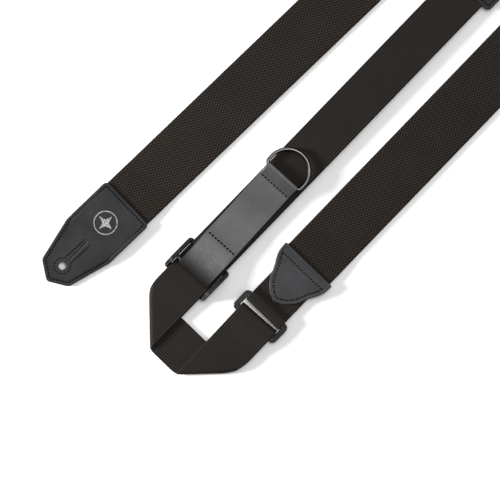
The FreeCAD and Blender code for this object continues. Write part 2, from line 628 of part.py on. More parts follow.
def is_outer_corner(edge):
    low, high = edge.BoundBox.ZMin, edge.BoundBox.ZMax
    between = size("sizes.ring_window / 2 + sizes.ring_bar / 2")
    return high - low > size("sizes.ring_thick") / 2 and abs(edge.BoundBox.Center.x) > between


corners = ring_body.newObject("PartDesign::Fillet", "ring_corners")
corners.Base = (pad, named_edges(pad.Shape, is_outer_corner))
corners.setExpression("Radius", "sizes.ring_corner")
doc.recompute()
edges = ring_body.newObject("PartDesign::Fillet", "ring_edges")
level_edges = named_edges(corners.Shape, lambda edge: edge.BoundBox.ZLength < ply_gap)
edges.Base = (corners, level_edges)
edges.setExpression("Radius", "sizes.ring_round")
ring_body.Tip = edges
node(ring_body, "shoulder_ring")
ring_body.setExpression("Placement.Base.x", "sizes.origin_x + sizes.ring_x")
ring_body.setExpression("Placement.Base.y", "sizes.origin_y + sizes.ring_y")
ring_body.setExpression("Placement.Base.z", "3 * sizes.webbing_thick")


# --- adjuster slide -----------------------------------------------------------------------

cheek_floor = "sizes.low_bar_z - sizes.cheek_foot"
crown = "sizes.centre_bar_z + sizes.centre_bar_radius + sizes.crown_cover"
low_x, high_x = "sizes.slide_low_x", "sizes.slide_low_x + sizes.slide_length"
crown_low = "sizes.centre_bar_x - sizes.slide_arch / 2"
crown_high = "sizes.centre_bar_x + sizes.slide_arch / 2"
cheeks = []
for label, place in (("left", "sizes.adjust_line_y + sizes.ring_half + sizes.slide_cheek"),
                     ("right", "sizes.adjust_line_y - sizes.ring_half")):
    side = sketch(f"cheek_{label}_side", [
        (low_x, cheek_floor), (high_x, cheek_floor), (high_x, "sizes.slide_end_height"),
        (crown_high, crown), (crown_low, crown), (low_x, "sizes.slide_end_height"),
    ], ("0", place, "0"), upright=True)
    cheeks.append(extrusion(f"cheek_{label}", rounded(f"cheek_{label}", side, "sizes.cheek_round"),
                            "sizes.slide_cheek", (0, -1, 0)))
span = "2 * sizes.ring_half + sizes.slide_cheek"
bar_y = "sizes.adjust_line_y - sizes.ring_half - sizes.slide_cheek / 2"
low_bar_solid = primitive("Box", "low_bar",
                          {"Length": "sizes.slide_low_bar", "Width": span, "Height": "sizes.slide_low_thick"},
                          (low_x, bar_y, "sizes.low_bar_z"))
high_bar_solid = primitive("Box", "high_bar",
                           {"Length": "sizes.slide_high_bar", "Width": span,
                            "Height": "sizes.slide_high_thick"},
                           (f"{high_x} - sizes.slide_high_bar", bar_y,
                            "sizes.running_z - sizes.running_gap - sizes.slide_high_thick"))
centre_bar = primitive("Cylinder", "centre_bar", {"Radius": "sizes.centre_bar_radius", "Height": span},
                       ("sizes.centre_bar_x", bar_y, "sizes.centre_bar_z"), Rotation(Vector(1, 0, 0), -90))
slide = fused("slide_fused", cheeks + [low_bar_solid, high_bar_solid, centre_bar])
node(slide, "adjuster_slide")


# --- pull tab and D-ring --------------------------------------------------------------------

tab_thick = size("sizes.tab_thick")
tab_level = size("sizes.tab_z") + tab_thick / 2
tab_top = tab_level + tab_thick + ply_gap
wrap = size("sizes.wrap_radius") - tab_thick / 2
curl = size("sizes.dring_radius") - tab_thick / 2
reach_x = size("sizes.tab_reach")
low_seam, high_seam = size("sizes.tab_low_seam"), size("sizes.tab_high_seam")
margin = size("sizes.seam_margin")
over, step = margin + tab_thick, 5 * tab_thick
easy, stiff = 2 * bend, bend / 1.5      # bends of the long slope, and of the steps beside the seams
tab_path = [
    (low_seam + margin, tab_level, 0), (-wrap, tab_level, wrap * turned),
    (-wrap, tab_level + 2 * wrap, wrap * turned), (wrap * 1.5, tab_level + 2 * wrap, bend),
    (low_seam - step, tab_top, easy), (low_seam + over, tab_top, stiff),
    (low_seam + over + step, tab_level, stiff),
    (high_seam - over - step, tab_level, stiff), (high_seam - over, tab_top, stiff),
    (high_seam + curl, tab_top, curl), (reach_x - 1.5 * curl, tab_level + 2 * curl, curl),
    (reach_x + curl, tab_level + 2 * curl, curl * turned),
    (reach_x + curl, tab_level, curl * turned), (high_seam - margin, tab_level, 0)]
hinge_x, hinge_y = "sizes.centre_bar_x", "sizes.adjust_line_y - sizes.tab_aside"
tab = shape_node("pull_tab", strip(tab_path, tab_thick, size("sizes.tab_width")))
turned_by(tab, "sizes.tab_turn", hinge_x, hinge_y)
for name, seam in (("tab_slide_stitching", "sizes.tab_low_seam"),
                   ("tab_ring_stitching", "sizes.tab_high_seam")):
    row = sketch(f"{name}_outline", [
        (f"{seam} - sizes.thread / 2", "-sizes.seam_length / 2"),
        (f"{seam} + sizes.thread / 2", "-sizes.seam_length / 2"),
        (f"{seam} + sizes.thread / 2", "sizes.seam_length / 2"),
        (f"{seam} - sizes.thread / 2", "sizes.seam_length / 2"),
    ], ("0", "0", "sizes.tab_z + 2 * sizes.tab_thick + sizes.ply_gap"))
    stitches = extrusion(f"{name}_row", row, "sizes.thread_proud")
    turned_by(node(stitches, name), "sizes.tab_turn", hinge_x, hinge_y)

leg_y = "sizes.dring_width / 2"
along_x = Rotation(Vector(0, 1, 0), 90)
bow = primitive("Torus", "dring_bow", {"Radius1": leg_y, "Radius2": "sizes.wire_radius", "Angle3": "180"},
                ("sizes.tab_reach + sizes.dring_leg", "0", "sizes.dring_z"), Rotation(Vector(0, 0, 1), -90))
wires = [bow]
for label, sign in (("left", ""), ("right", "-")):
    wires.append(primitive("Cylinder", f"dring_leg_{label}",
                           {"Radius": "sizes.wire_radius", "Height": "sizes.dring_leg"},
                           ("sizes.tab_reach", f"{sign}{leg_y}", "sizes.dring_z"), along_x))
    wires.append(primitive("Sphere", f"dring_corner_{label}", {"Radius": "sizes.wire_radius"},
                           ("sizes.tab_reach", f"{sign}{leg_y}", "sizes.dring_z")))
wires.append(primitive("Cylinder", "dring_bar",
                       {"Radius": "sizes.wire_radius", "Height": "sizes.dring_width"},
                       ("sizes.tab_reach", f"-{leg_y}", "sizes.dring_z"), Rotation(Vector(1, 0, 0), -90)))
dring = node(fused("dring_fused", wires), "d_ring")
turned_by(dring, "sizes.tab_turn", hinge_x, hinge_y)


# --- origin, checks and files ---------------------------------------------------------------

def checked():
    doc.recompute()
    for item in doc.Objects:
        if "Invalid" in item.State or "Error" in item.State:
            raise SystemExit(f"{item.Name} did not compute: {item.State}")
    for item in nodes:
        if item.Shape.isNull() or not item.Shape.isValid():
            raise SystemExit(f"{item.Label} has no sound shape")


checked()
whole = FreeCAD.BoundBox()
for item in nodes:
    whole.add(item.Shape.BoundBox)
sheet.set("origin_x", str(-whole.Center.x))
sheet.set("origin_y", str(-whole.Center.y))
checked()

os.makedirs("parts", exist_ok=True)
print("origin", -whole.Center.x, -whole.Center.y)
for item in nodes:
    item.Shape.exportStep(f"parts/{item.Label}.step")
    box = item.Shape.BoundBox
    print(f"{item.Label:24s} solids {len(item.Shape.Solids)} volume {item.Shape.Volume:9.1f} "
          f"x {box.XMin:7.1f} {box.XMax:7.1f} y {box.YMin:6.1f} {box.YMax:6.1f} "
          f"z {box.ZMin:5.2f} {box.ZMax:5.2f}")
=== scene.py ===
import math

import bmesh
import bpy
from mathutils import Matrix, Vector


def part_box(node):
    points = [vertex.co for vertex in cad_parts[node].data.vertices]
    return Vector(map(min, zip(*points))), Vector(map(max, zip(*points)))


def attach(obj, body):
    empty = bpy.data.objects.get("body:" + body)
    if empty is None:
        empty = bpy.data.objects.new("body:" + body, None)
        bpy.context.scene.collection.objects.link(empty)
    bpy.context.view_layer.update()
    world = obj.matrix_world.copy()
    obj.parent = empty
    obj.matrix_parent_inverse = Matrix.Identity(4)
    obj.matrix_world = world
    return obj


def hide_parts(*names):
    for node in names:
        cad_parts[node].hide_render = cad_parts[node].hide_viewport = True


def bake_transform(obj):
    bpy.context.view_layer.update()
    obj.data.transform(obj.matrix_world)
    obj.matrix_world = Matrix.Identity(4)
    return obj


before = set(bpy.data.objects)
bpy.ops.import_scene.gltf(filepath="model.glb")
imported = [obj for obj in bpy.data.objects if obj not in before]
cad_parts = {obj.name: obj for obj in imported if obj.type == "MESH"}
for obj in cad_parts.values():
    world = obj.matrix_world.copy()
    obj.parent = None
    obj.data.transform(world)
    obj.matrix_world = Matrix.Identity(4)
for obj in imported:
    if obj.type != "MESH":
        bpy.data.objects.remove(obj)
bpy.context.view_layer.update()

MM = 0.001


# === Camera, light and table =============================================================
# The strap lies on a plain white table. The camera looks straight down through a long lens,
# turned so that the runs climb to the upper right.

def middle(node):
    low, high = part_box(node)
    return (low + high) / 2


lay_angle = math.radians(46.0)
view_width = 0.43425
lens_mm, sensor_mm = 200.0, 36.0
ring_middle = middle("shoulder_ring")
aim = Vector((ring_middle.x + 0.0352, ring_middle.y + 0.0465, 0.0))

camera_data = bpy.data.cameras.new("table_camera")
camera_data.lens = lens_mm
camera_data.sensor_width = sensor_mm
camera_data.clip_end = 20.0
camera = bpy.data.objects.new("table_camera", camera_data)
bpy.context.scene.collection.objects.link(camera)
camera_height = view_width * lens_mm / sensor_mm
camera.matrix_world = (Matrix.Translation(aim + Vector((0, 0, camera_height)))
                       @ Matrix.Rotation(-lay_angle, 4, "Z"))
bpy.context.scene.camera = camera


def linear(hex_colour):
    """An sRGB hex colour as Blender's linear red, green, blue and alpha."""
    channels = [int(hex_colour[place:place + 2], 16) / 255 for place in (1, 3, 5)]
    return (*[c / 12.92 if c <= 0.04045 else ((c + 0.055) / 1.055) ** 2.4 for c in channels], 1.0)


def add(tree, kind, settings=None, **links):
    """Adds one node, of a node type or of a maths operation in capitals. Settings go to its
    properties, links to its inputs by name or number."""
    made = tree.nodes.new("ShaderNodeMath" if kind.isupper() else kind)
    if kind.isupper():
        made.operation = kind
    for key, value in (settings or {}).items():
        setattr(made, key, value)
    for key, value in links.items():
        numbered = key[0] == "i" and key[1:].isdigit()
        socket = made.inputs[int(key[1:]) if numbered else key.replace("_", " ")]
        if isinstance(value, bpy.types.NodeSocket):
            tree.links.new(value, socket)
        else:
            socket.default_value = value
    return made


def new_material(name):
    """A node material with only its shader; returns the material, its tree and the shader."""
    made = bpy.data.materials.new(name)
    made.use_nodes = True
    made.node_tree.nodes.clear()
    shader = add(made.node_tree, "ShaderNodeBsdfPrincipled")
    add(made.node_tree, "ShaderNodeOutputMaterial", Surface=shader.outputs[0])
    return made, made.node_tree, shader


def lamp(name, place, width, watts):
    """A square lamp at a place measured from the middle of the view, which it faces."""
    light = bpy.data.lights.new(name, "AREA")
    light.shape, light.size, light.energy = "SQUARE", width, watts
    holder = bpy.data.objects.new(name, light)
    bpy.context.scene.collection.objects.link(holder)
    holder.location = aim + Vector(place)
    holder.rotation_euler = (-Vector(place)).to_track_quat("-Z", "Y").to_euler()


# A low lamp at the left throws the soft shadow; a smaller one overhead, towards +X, gives the
# leather its highlight. The room is brightest straight above, and darker to the -X side.
lamp("key_lamp", (-0.95, 1.15, 0.5), 0.38, 56.0)
lamp("overhead_lamp", (0.7, 0.15, 1.9), 0.5, 7.0)

world = bpy.data.worlds.new("studio")
world.use_nodes = True
sky = world.node_tree
looking = add(sky, "ShaderNodeTexCoord").outputs["Generated"]
toward = add(sky, "ShaderNodeSeparateXYZ", i0=looking).outputs
soft_step = {"interpolation_type": "SMOOTHSTEP"}
side = add(sky, "ShaderNodeMapRange", soft_step, Value=toward[0], From_Min=-0.45, From_Max=0.15,
           To_Min=0.18, To_Max=1.0).outputs[0]
ceiling = add(sky, "ShaderNodeMapRange", soft_step, Value=toward[2], From_Min=0.5, From_Max=0.97,
              To_Min=0.40, To_Max=1.48).outputs[0]
room = add(sky, "MULTIPLY", i0=side, i1=ceiling).outputs[0]
sky.links.new(room, sky.nodes["Background"].inputs["Color"])
sky.nodes["Background"].inputs["Strength"].default_value = 1.0
bpy.context.scene.world = world
bpy.context.scene.view_settings.view_transform = "Standard"

# Matt and bright enough to read as plain white wherever no shadow falls.
table_half, table_drop = 6.0, 0.2 * MM
table_mesh = bpy.data.meshes.new("table_top")
table_mesh.from_pydata([(-table_half, -table_half, 0), (table_half, -table_half, 0),
                        (table_half, table_half, 0), (-table_half, table_half, 0)], [], [(0, 1, 2, 3)])
table = bpy.data.objects.new("table_top", table_mesh)
bpy.context.scene.collection.objects.link(table)
white_board, _, board_shader = new_material("matt white laminate")
board_shader.inputs["Base Color"].default_value = linear("#fbfbfb")
board_shader.inputs["Roughness"].default_value = 0.9
board_shader.inputs["Specular IOR Level"].default_value = 0.1
table_mesh.materials.append(white_board)
table.location.z = -table_drop


# === Shoulder webbing ====================================================================
# One length of 50 mm cotton webbing in a heavy basket weave: small fat picks in rows, each row
# half a step out of line with the next. It folds twice at 45 degrees where it turns.

class Lay:
    """The path of a webbing: straight runs in plan, and folds that turn it over onto itself."""

    def __init__(self, start, heading):
        self.corner = Vector((*start, 0.0))
        self.way = Vector((math.cos(heading), math.sin(heading), 0.0))
        self.start, self.first_way = self.corner.copy(), self.way.copy()
        self.used, self.lead, self.folds, self.corners = 0.0, 0.0, [], []

    def at(self, distance):
        """Length used, at a distance past the last corner."""
        return self.used + self.lead + distance

    def fold(self, corner, heading, radius, upwards, softness=(0.05, 0.05)):
        """Ends the run where its middle line meets corner, and folds it to a new heading."""
        corner = Vector((*corner, 0.0))
        onward = Vector((math.cos(heading), math.sin(heading), 0.0))
        spread = (self.way - onward).length
        setback = math.pi * radius / spread
        length = (corner - self.corner).length
        used = self.at(length) - setback
        normal = (self.way - onward) / spread
        self.folds.append((used, corner - self.way * setback, normal, radius, 1 if upwards else -1))
        if spread < 1.9:
            self.corners.append((corner, normal, softness))
        self.used, self.lead, self.corner, self.way = used, setback, corner, onward

    def place(self, across, along, height, width):
        """Where a point of the flat webbing lies: its position and the way its face looks."""
        side = Vector((-self.first_way.y, self.first_way.x, 0.0))
        point = self.start + self.first_way * along + side * across
        up_way = Vector((0, 0, 1))
        level, face, facing = height, 1.0, up_way
        for used, hinge, normal, radius, up in self.folds:
            if along < used - width:
                break
            past = (point - hinge).dot(normal)
            if past <= 0:
                continue
            if past < math.pi * radius:
                turn = past / radius
                point = point + normal * (radius * math.sin(turn) - past)
                level += up * radius * (1 - math.cos(turn))
                facing = (up_way * math.cos(turn) - normal * (up * math.sin(turn))) * face
            else:
                point = point + normal * (math.pi * radius - 2 * past)
                level += up * 2 * radius
                face = -face
                facing = up_way * face
        return Vector((point.x, point.y, level)), facing

    def softened(self, point, half):
        """Draws a point in where a diagonal fold would otherwise leave a sharp corner."""
        flat_point, pulled = Vector((point.x, point.y, 0.0)), point.copy()
        for corner, normal, softness in self.corners:
            along_fold = Vector((-normal.y, normal.x, 0.0))
            for sign, share in zip((-1, 1), softness):
                tip = corner + along_fold * (sign * half * math.sqrt(2))
                near = 1 - (flat_point - tip).length / (7 * share * half)
                if near > 0:
                    pulled -= (normal * 0.92 + along_fold * (0.38 * sign)) * (share * half * near * near)
        return pulled


def through(stops):
    """A smooth curve through (distance, value) stops, level at each of them."""
    def value(at):
        for (low, first), (high, last) in zip(stops, stops[1:]):
            if at <= high:
                share = min(max((at - low) / (high - low), 0), 1)
                return first + (last - first) * share * share * (3 - 2 * share)
        return stops[-1][1]
    return value


def new_piece(name, vertices, faces, material, smooth=True):
    """An object of its own at the origin, from points and faces, in one material."""
    mesh = bpy.data.meshes.new(name)
    mesh.from_pydata([tuple(v) for v in vertices], [], faces)
    mesh.validate()
    mesh.materials.append(material)
    for polygon in mesh.polygons:
        polygon.use_smooth = smooth
    made = bpy.data.objects.new(name, mesh)
    bpy.context.scene.collection.objects.link(made)
    return made


def spaced(length, coarse, fine=0.0, places=(), reach=0.0):
    """Row places along a length: coarse steps, and fine ones within reach of the given places."""
    stops, at = [0.0], 0.0
    while at < length:
        near = any(abs(at - place) < reach for place in places)
        at = min(at + (fine if near else coarse), length)
        stops.append(at)
    return stops


def webbing(name, lay, width, alongs, thickness, height, relief, columns, material):
    """A strip laid along its path: both faces, rounded edges, closed ends, and its weave raised
    in the mesh. Its UV map is the flat strip in metres: across, then along."""
    rows = len(alongs) - 1
    vertices, places = [], []
    half = width / 2
    for along in alongs:
        for column in range(columns + 1):
            across = -half + width * column / columns
            point, facing = lay.place(across, along, height(along), width)
            inset = min((half - abs(across)) / (thickness * 0.6), 1.0)
            swell = math.sqrt(max(1 - (1 - inset) ** 2, 0.0)) * thickness / 2
            for side in (1, -1):
                lift = swell + relief(across, along) * min(inset * 1.5, 1)
                vertices.append(lay.softened(point + facing * (side * lift), half))
                places.append((across, along))
    step = 2 * (columns + 1)

    def corner(row, column, side):
        return row * step + 2 * column + side

    faces = []
    for row in range(rows):
        for column in range(columns):
            for side in (0, 1):
                ring = [corner(row, column, side), corner(row + 1, column, side),
                        corner(row + 1, column + 1, side), corner(row, column + 1, side)]
                faces.append(ring[::-1] if side == 0 else ring)
    for row, order in ((0, 1), (rows, -1)):
        for column in range(columns):
            ring = [corner(row, column, 0), corner(row, column + 1, 0),
                    corner(row, column + 1, 1), corner(row, column, 1)]
            faces.append(ring[::-1] if order == 1 else ring)
    made = new_piece(name, vertices, faces, material)
    layer = made.data.uv_layers.new(name="cloth")
    for loop in made.data.loops:
        layer.data[loop.index].uv = places[loop.vertex_index]
    work = bmesh.new()
    work.from_mesh(made.data)
    bmesh.ops.remove_doubles(work, verts=work.verts, dist=1e-7)
    bmesh.ops.recalc_face_normals(work, faces=work.faces)
    work.to_mesh(made.data)
    work.free()
    return made


cotton_low, cotton_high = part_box("shoulder_webbing")
joiner_low, joiner_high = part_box("joiner_leather_face")
joiner_back_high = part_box("joiner_leather_back")[1]
cotton_width, cotton_thick = 50 * MM, (cotton_high.z - cotton_low.z) / 2
leather_thick = joiner_back_high.z
cotton_line_y = (joiner_low.y + joiner_high.y) / 2
joiner_lap, past_leather, crossing_room = 12 * MM, 3 * MM, 6 * MM
cotton_end_x = joiner_high.x - joiner_lap
cross_x = cotton_high.x - cotton_width / 2
neck_turn = math.radians(2.2)
neck_middle = middle("neck_leather_face")
neck_heading = math.pi - neck_turn
neck_way = Vector((math.cos(neck_heading), math.sin(neck_heading), 0))
end_length = 98 * MM
neck_edge = neck_middle - neck_way * (end_length / 2)
neck_edge.z = 0
cross_corner = (cross_x, cotton_line_y)
neck_corner = neck_edge - neck_way * ((neck_edge.x - cross_x) / neck_way.x)

cotton_lay = Lay((cotton_end_x, cotton_line_y), 0.0)
held_z, floor_z, over_z = leather_thick + cotton_thick / 2, cotton_thick / 2, cotton_thick * 1.5
ramp = 34 * MM
climb = cross_x - cotton_width / 2 - cotton_end_x
cotton_stops = [(0, held_z), (joiner_lap + past_leather, held_z), (joiner_lap + ramp, floor_z),
                (climb - ramp, floor_z), (climb, over_z)]
cotton_lay.fold(cross_corner, math.pi / 2, cotton_thick / 2, False)
cotton_lay.fold((neck_corner.x, neck_corner.y), neck_heading, cotton_thick / 2, True)
neck_run = (neck_edge - neck_corner).length
off_cross = cotton_lay.at(cotton_width / 2 + crossing_room)
cotton_stops += [(off_cross, over_z), (off_cross + ramp, floor_z),
                 (cotton_lay.at(neck_run - ramp), floor_z),
                 (cotton_lay.at(neck_run - past_leather), held_z),
                 (cotton_lay.at(neck_run + end_length), held_z)]
held_length = 38 * MM
cotton_length = cotton_lay.at(neck_run + held_length)

# The weave: 38 rows of picks across the width, 4.8 mm from pick to pick along a row. Each row is
# half a step on from the last, and the rows pair up into 19 flat braids.
pick_across, pick_along = cotton_width / 38, 4.8 * MM


def basket(across, along):
    """How far the cotton's weave stands out at a point of the flat webbing."""
    lane = math.floor(across / pick_across)
    u = across / pick_across - lane
    v = (along / pick_along + 0.5 * (lane % 2)) % 1.0
    braid = 0.65 + 0.35 * abs(math.sin(math.pi * across / (2 * pick_across)))
    mound = abs(math.sin(math.pi * u)) * abs(math.sin(math.pi * v)) * braid
    return (mound - 0.4) * 0.55 * MM


def woven_material(name, gap_shade, lit, pitch_across, pitch_along, brick, picks, pairing, crest,
                   rough, fuzz_scale):
    """Woven cloth on the piece's own flat map: the yarns' colour, fuzz and twist, with a painted
    highlight on the yarns' tops and painted shade in their gaps. brick shifts every second row, picks
    and pairing say how deep the painted shade in the gaps along a row and between pairs of rows is,
    crest how narrow the painted highlight on top of a yarn is."""
    made, tree, shader = new_material(name)
    flat = add(tree, "ShaderNodeUVMap", {"uv_map": "cloth"}).outputs[0]
    split = add(tree, "ShaderNodeSeparateXYZ", i0=flat)
    lane = add(tree, "DIVIDE", i0=split.outputs[0], i1=pitch_across).outputs[0]
    lane_number = add(tree, "FLOOR", i0=lane).outputs[0]
    odd = add(tree, "MODULO", i0=lane_number, i1=2.0).outputs[0]
    shift = add(tree, "MULTIPLY", i0=odd, i1=brick).outputs[0]
    step = add(tree, "DIVIDE", i0=split.outputs[1], i1=pitch_along).outputs[0]
    step = add(tree, "ADD", i0=step, i1=shift).outputs[0]
    u = add(tree, "FRACT", i0=lane).outputs[0]
    v = add(tree, "FRACT", i0=step).outputs[0]
    turn_u = add(tree, "MULTIPLY", i0=u, i1=math.pi).outputs[0]
    turn_v = add(tree, "MULTIPLY", i0=v, i1=math.pi).outputs[0]
    turn_pair = add(tree, "MULTIPLY", i0=lane, i1=math.pi / 2).outputs[0]
    hump_u = add(tree, "SINE", i0=turn_u).outputs[0]
    hump_v = add(tree, "SINE", i0=turn_v).outputs[0]
    hump_v = add(tree, "MULTIPLY_ADD", i0=hump_v, i1=picks, i2=1 - picks).outputs[0]
    pair = add(tree, "ABSOLUTE", i0=add(tree, "SINE", i0=turn_pair).outputs[0]).outputs[0]
    pair = add(tree, "MULTIPLY_ADD", i0=pair, i1=pairing, i2=1 - pairing).outputs[0]
    hump = add(tree, "MULTIPLY", i0=hump_u, i1=hump_v).outputs[0]
    hump = add(tree, "MULTIPLY", i0=hump, i1=pair).outputs[0]
    hump = add(tree, "POWER", i0=hump, i1=crest).outputs[0]
    stretched = add(tree, "ShaderNodeMapping", {"vector_type": "POINT"}, Vector=flat,
                    Scale=(1.0, 0.35, 1.0)).outputs[0]
    fuzz = add(tree, "ShaderNodeTexNoise", {"noise_dimensions": "3D"}, Vector=stretched,
               Scale=fuzz_scale, Detail=4.0, Roughness=0.65).outputs[0]
    patches = add(tree, "ShaderNodeTexNoise", Vector=flat, Scale=28.0, Detail=2.0).outputs[0]
    twist = add(tree, "ShaderNodeTexWave", {"wave_type": "BANDS", "bands_direction": "DIAGONAL"},
                Vector=flat, Scale=420.0, Distortion=2.0, Detail=1.0).outputs[1]
    speckle = add(tree, "MULTIPLY_ADD", i0=fuzz, i1=0.9, i2=-0.4).outputs[0]
    # The yarns' tops take the lighter colour and the gaps between them the darker one: a painted
    # highlight and painted shade, mixed with the fuzz's speckle.
    light = add(tree, "MULTIPLY_ADD", {"use_clamp": True}, i0=hump, i1=0.75, i2=speckle).outputs[0]
    yarn = add(tree, "ShaderNodeMix", {"data_type": "RGBA"}, i0=light, i6=linear(gap_shade),
               i7=linear(lit)).outputs[2]
    rubbed = add(tree, "ShaderNodeMapRange", Value=patches, From_Min=0.3, From_Max=0.7, To_Min=0.6,
                 To_Max=1.0).outputs[0]
    worn = add(tree, "ShaderNodeMix", {"data_type": "RGBA", "blend_type": "MULTIPLY"}, i0=0.35,
               i6=yarn, i7=rubbed)
    tree.links.new(worn.outputs[2], shader.inputs["Base Color"])
    shaggy = add(tree, "ShaderNodeMapRange", Value=fuzz, From_Min=0.3, From_Max=0.7,
                 To_Min=rough - 0.08, To_Max=rough + 0.08).outputs[0]
    tree.links.new(shaggy, shader.inputs["Roughness"])
    relief = add(tree, "MULTIPLY_ADD", i0=twist, i1=0.35, i2=fuzz).outputs[0]
    bump = add(tree, "ShaderNodeBump", Strength=0.55, Distance=0.3 * MM, Height=relief)
    tree.links.new(bump.outputs[0], shader.inputs["Normal"])
    shader.inputs["Sheen Weight"].default_value = 0.03
    shader.inputs["Sheen Roughness"].default_value = 0.6
    shader.inputs["Sheen Tint"].default_value = linear(lit)
    shader.inputs["Specular IOR Level"].default_value = 0.12
    return made


# Cotton yarn: matt, with a faint pale fuzz, painted shade in the gaps between the picks and a painted
# highlight on their tops.
black_cotton = woven_material("woven black cotton", "#040303", "#554c44", pick_across, pick_along,
                              brick=0.5, picks=1.0, pairing=0.4, crest=1.9, rough=0.9,
                              fuzz_scale=2600.0)
cotton = webbing("shoulder_webbing_cloth", cotton_lay, cotton_width,
                 spaced(cotton_length, pick_along / 3), cotton_thick - 0.5 * MM,
                 through(cotton_stops), basket, 76, black_cotton)
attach(cotton, "strap")
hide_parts("shoulder_webbing")


# === Adjusting webbing ===================================================================
# One length of 39 mm ribbed polypropylene webbing. From the tail it runs through the adjuster
# slide, folds twice, goes round the ring's lower bar and comes back as a second ply underneath.

ply, narrow = 1.3 * MM, 39 * MM
ring_low, ring_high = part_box("shoulder_ring")
slide_low, slide_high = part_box("adjuster_slide")
tail_low, tail_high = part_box("tail_leather_face")
adjusting_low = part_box("adjusting_webbing")[0]
adjust_y = (tail_low.y + tail_high.y) / 2
adjust_cross_x = adjusting_low.x + narrow / 2
running_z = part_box("pull_tab")[0].z - 0.3 * MM - ply / 2
tail_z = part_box("tail_leather_back")[1].z + ply / 2
eye_radius, eye_inset = 3.2 * MM, 6.375 * MM
loop_turn = math.radians(1.0)
loop_way = Vector((math.cos(loop_turn), math.sin(loop_turn), 0))
lower_eye = Vector((ring_middle.x - eye_inset, 0, 0))
loop_far_y = ring_middle.y - (ring_middle.x - adjust_cross_x) * math.tan(loop_turn)
loop_far = Vector((adjust_cross_x, loop_far_y, 0))
lower_eye.y = loop_far.y + (lower_eye.x - loop_far.x) * math.tan(loop_turn)
outer_fold, inner_fold = 1.5 * ply, 0.5 * ply

adjust_lay = Lay((tail_low.x + held_length, adjust_y), math.pi)
tail_run = tail_low.x + held_length - adjust_cross_x
adjust_stops = [(0, tail_z), (held_length + 6 * MM, tail_z), (held_length + ramp, running_z),
                (tail_run - (slide_low.x - 2.6 * MM - adjust_cross_x), running_z),
                (tail_run - narrow / 2, 3.5 * ply)]
adjust_lay.fold((adjust_cross_x, adjust_y), -math.pi / 2, outer_fold, False, (0.08, 0.03))
adjust_lay.fold(loop_far[:2], loop_turn, outer_fold, True, (0.04, 0.13))
eye_run = (lower_eye - loop_far).length
open_z = ring_middle.z + eye_radius
eye_turn, eye_near, eye_far = math.pi * eye_radius / 2, 5 * MM, 23 * MM
adjust_stops += [(adjust_lay.at(eye_run - eye_far), 3.5 * ply),
                 (adjust_lay.at(eye_run - eye_near), open_z)]
adjust_lay.fold((lower_eye + loop_way * eye_turn)[:2], math.pi + loop_turn, eye_radius, False)
adjust_stops += [(adjust_lay.at(eye_turn + eye_near), open_z),
                 (adjust_lay.at(eye_turn + eye_far), 2.5 * ply + 2 * eye_radius)]
adjust_lay.fold(loop_far[:2], math.pi / 2, inner_fold, False)
adjust_lay.fold((adjust_cross_x, adjust_y), 0.0, inner_fold, True)
adjust_lay.corners = adjust_lay.corners[:2]
end_start = adjust_cross_x + narrow / 2 + 1.1 * MM
adjust_length = adjust_lay.at(end_start - adjust_cross_x)
rib_pitch, rib_pick = narrow / 17, 2.4 * MM


def ribbed(across, along):
    """Ribs along the webbing, each crossed by its picks."""
    rib = abs(math.cos(math.pi * across / rib_pitch))
    pick = math.sin(2 * math.pi * along / rib_pick) * 0.2
    return (rib * (1 + pick) - 0.6) * 0.18 * MM


# Polypropylene: finer and smoother than the cotton, with a low sheen and a painted highlight along each
# rib, and painted shade between the ribs.
black_polypropylene = woven_material("ribbed black polypropylene", "#0b0908", "#2f2a26", rib_pitch,
                                     rib_pick, brick=0.0, picks=0.3, pairing=0.0, crest=1.2,
                                     rough=0.7, fuzz_scale=1800.0)
fold_places = [fold[0] + 2 * MM for fold in adjust_lay.folds]
adjusting = webbing("adjusting_webbing_cloth", adjust_lay, narrow,
                    spaced(adjust_length, 3.0 * MM, 0.55 * MM, fold_places, 26 * MM),
                    ply - 0.12 * MM, through(adjust_stops), ribbed, 68, black_polypropylene)
# The last 20 mm before the ring are drawn 2.5 mm towards it, one edge a little more than the other.
drawn, draw_middle, draw_skew = 20 * MM, 2.5 * MM, 0.65 * MM
for vertex in adjusting.data.vertices:
    beyond, aside = vertex.co.x - lower_eye.x + drawn, (vertex.co.y - ring_middle.y) / (narrow / 2)
    if beyond > 0 and abs(aside) < 1.4:
        vertex.co.x += min(beyond / drawn, 1) * (draw_middle - draw_skew * aside)
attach(adjusting, "strap")
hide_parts("adjusting_webbing")


# === Sewn end of the adjusting webbing ====================================================
# The same webbing's last stretch: it drops under the slide's low bar, turns up round it and is sewn down
# on itself with two rows.

end_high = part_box("webbing_end")[1]
low_bar_length = 6 * MM
wrap_radius = 1.65 * MM
bar_level = end_high.z - ply / 2 - wrap_radius
end_lay = Lay((end_start, adjust_y), 0.0)
end_lay.corners = adjust_lay.corners
end_turn_x = slide_low.x + low_bar_length
end_stops = [(0, 2.5 * ply), (1.5 * MM, 2.5 * ply), (9.5 * MM, bar_level - wrap_radius)]
end_lay.fold((end_turn_x + math.pi * wrap_radius / 2, adjust_y), math.pi, wrap_radius, True)
back = math.pi * wrap_radius / 2
lap_drop = wrap_radius * 2 - ply - 0.05 * MM
end_stops += [(end_lay.at(back + low_bar_length + 1 * MM), bar_level - wrap_radius),
              (end_lay.at(back + low_bar_length + 4.5 * MM), bar_level - wrap_radius - lap_drop)]
end_length_used = end_lay.at(back + low_bar_length + 11 * MM)
webbing_end = webbing("webbing_end_cloth", end_lay, narrow, spaced(end_length_used, 0.7 * MM),
                      ply - 0.12 * MM, through(end_stops), ribbed, 68, black_polypropylene)
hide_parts("webbing_end")
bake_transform(webbing_end)


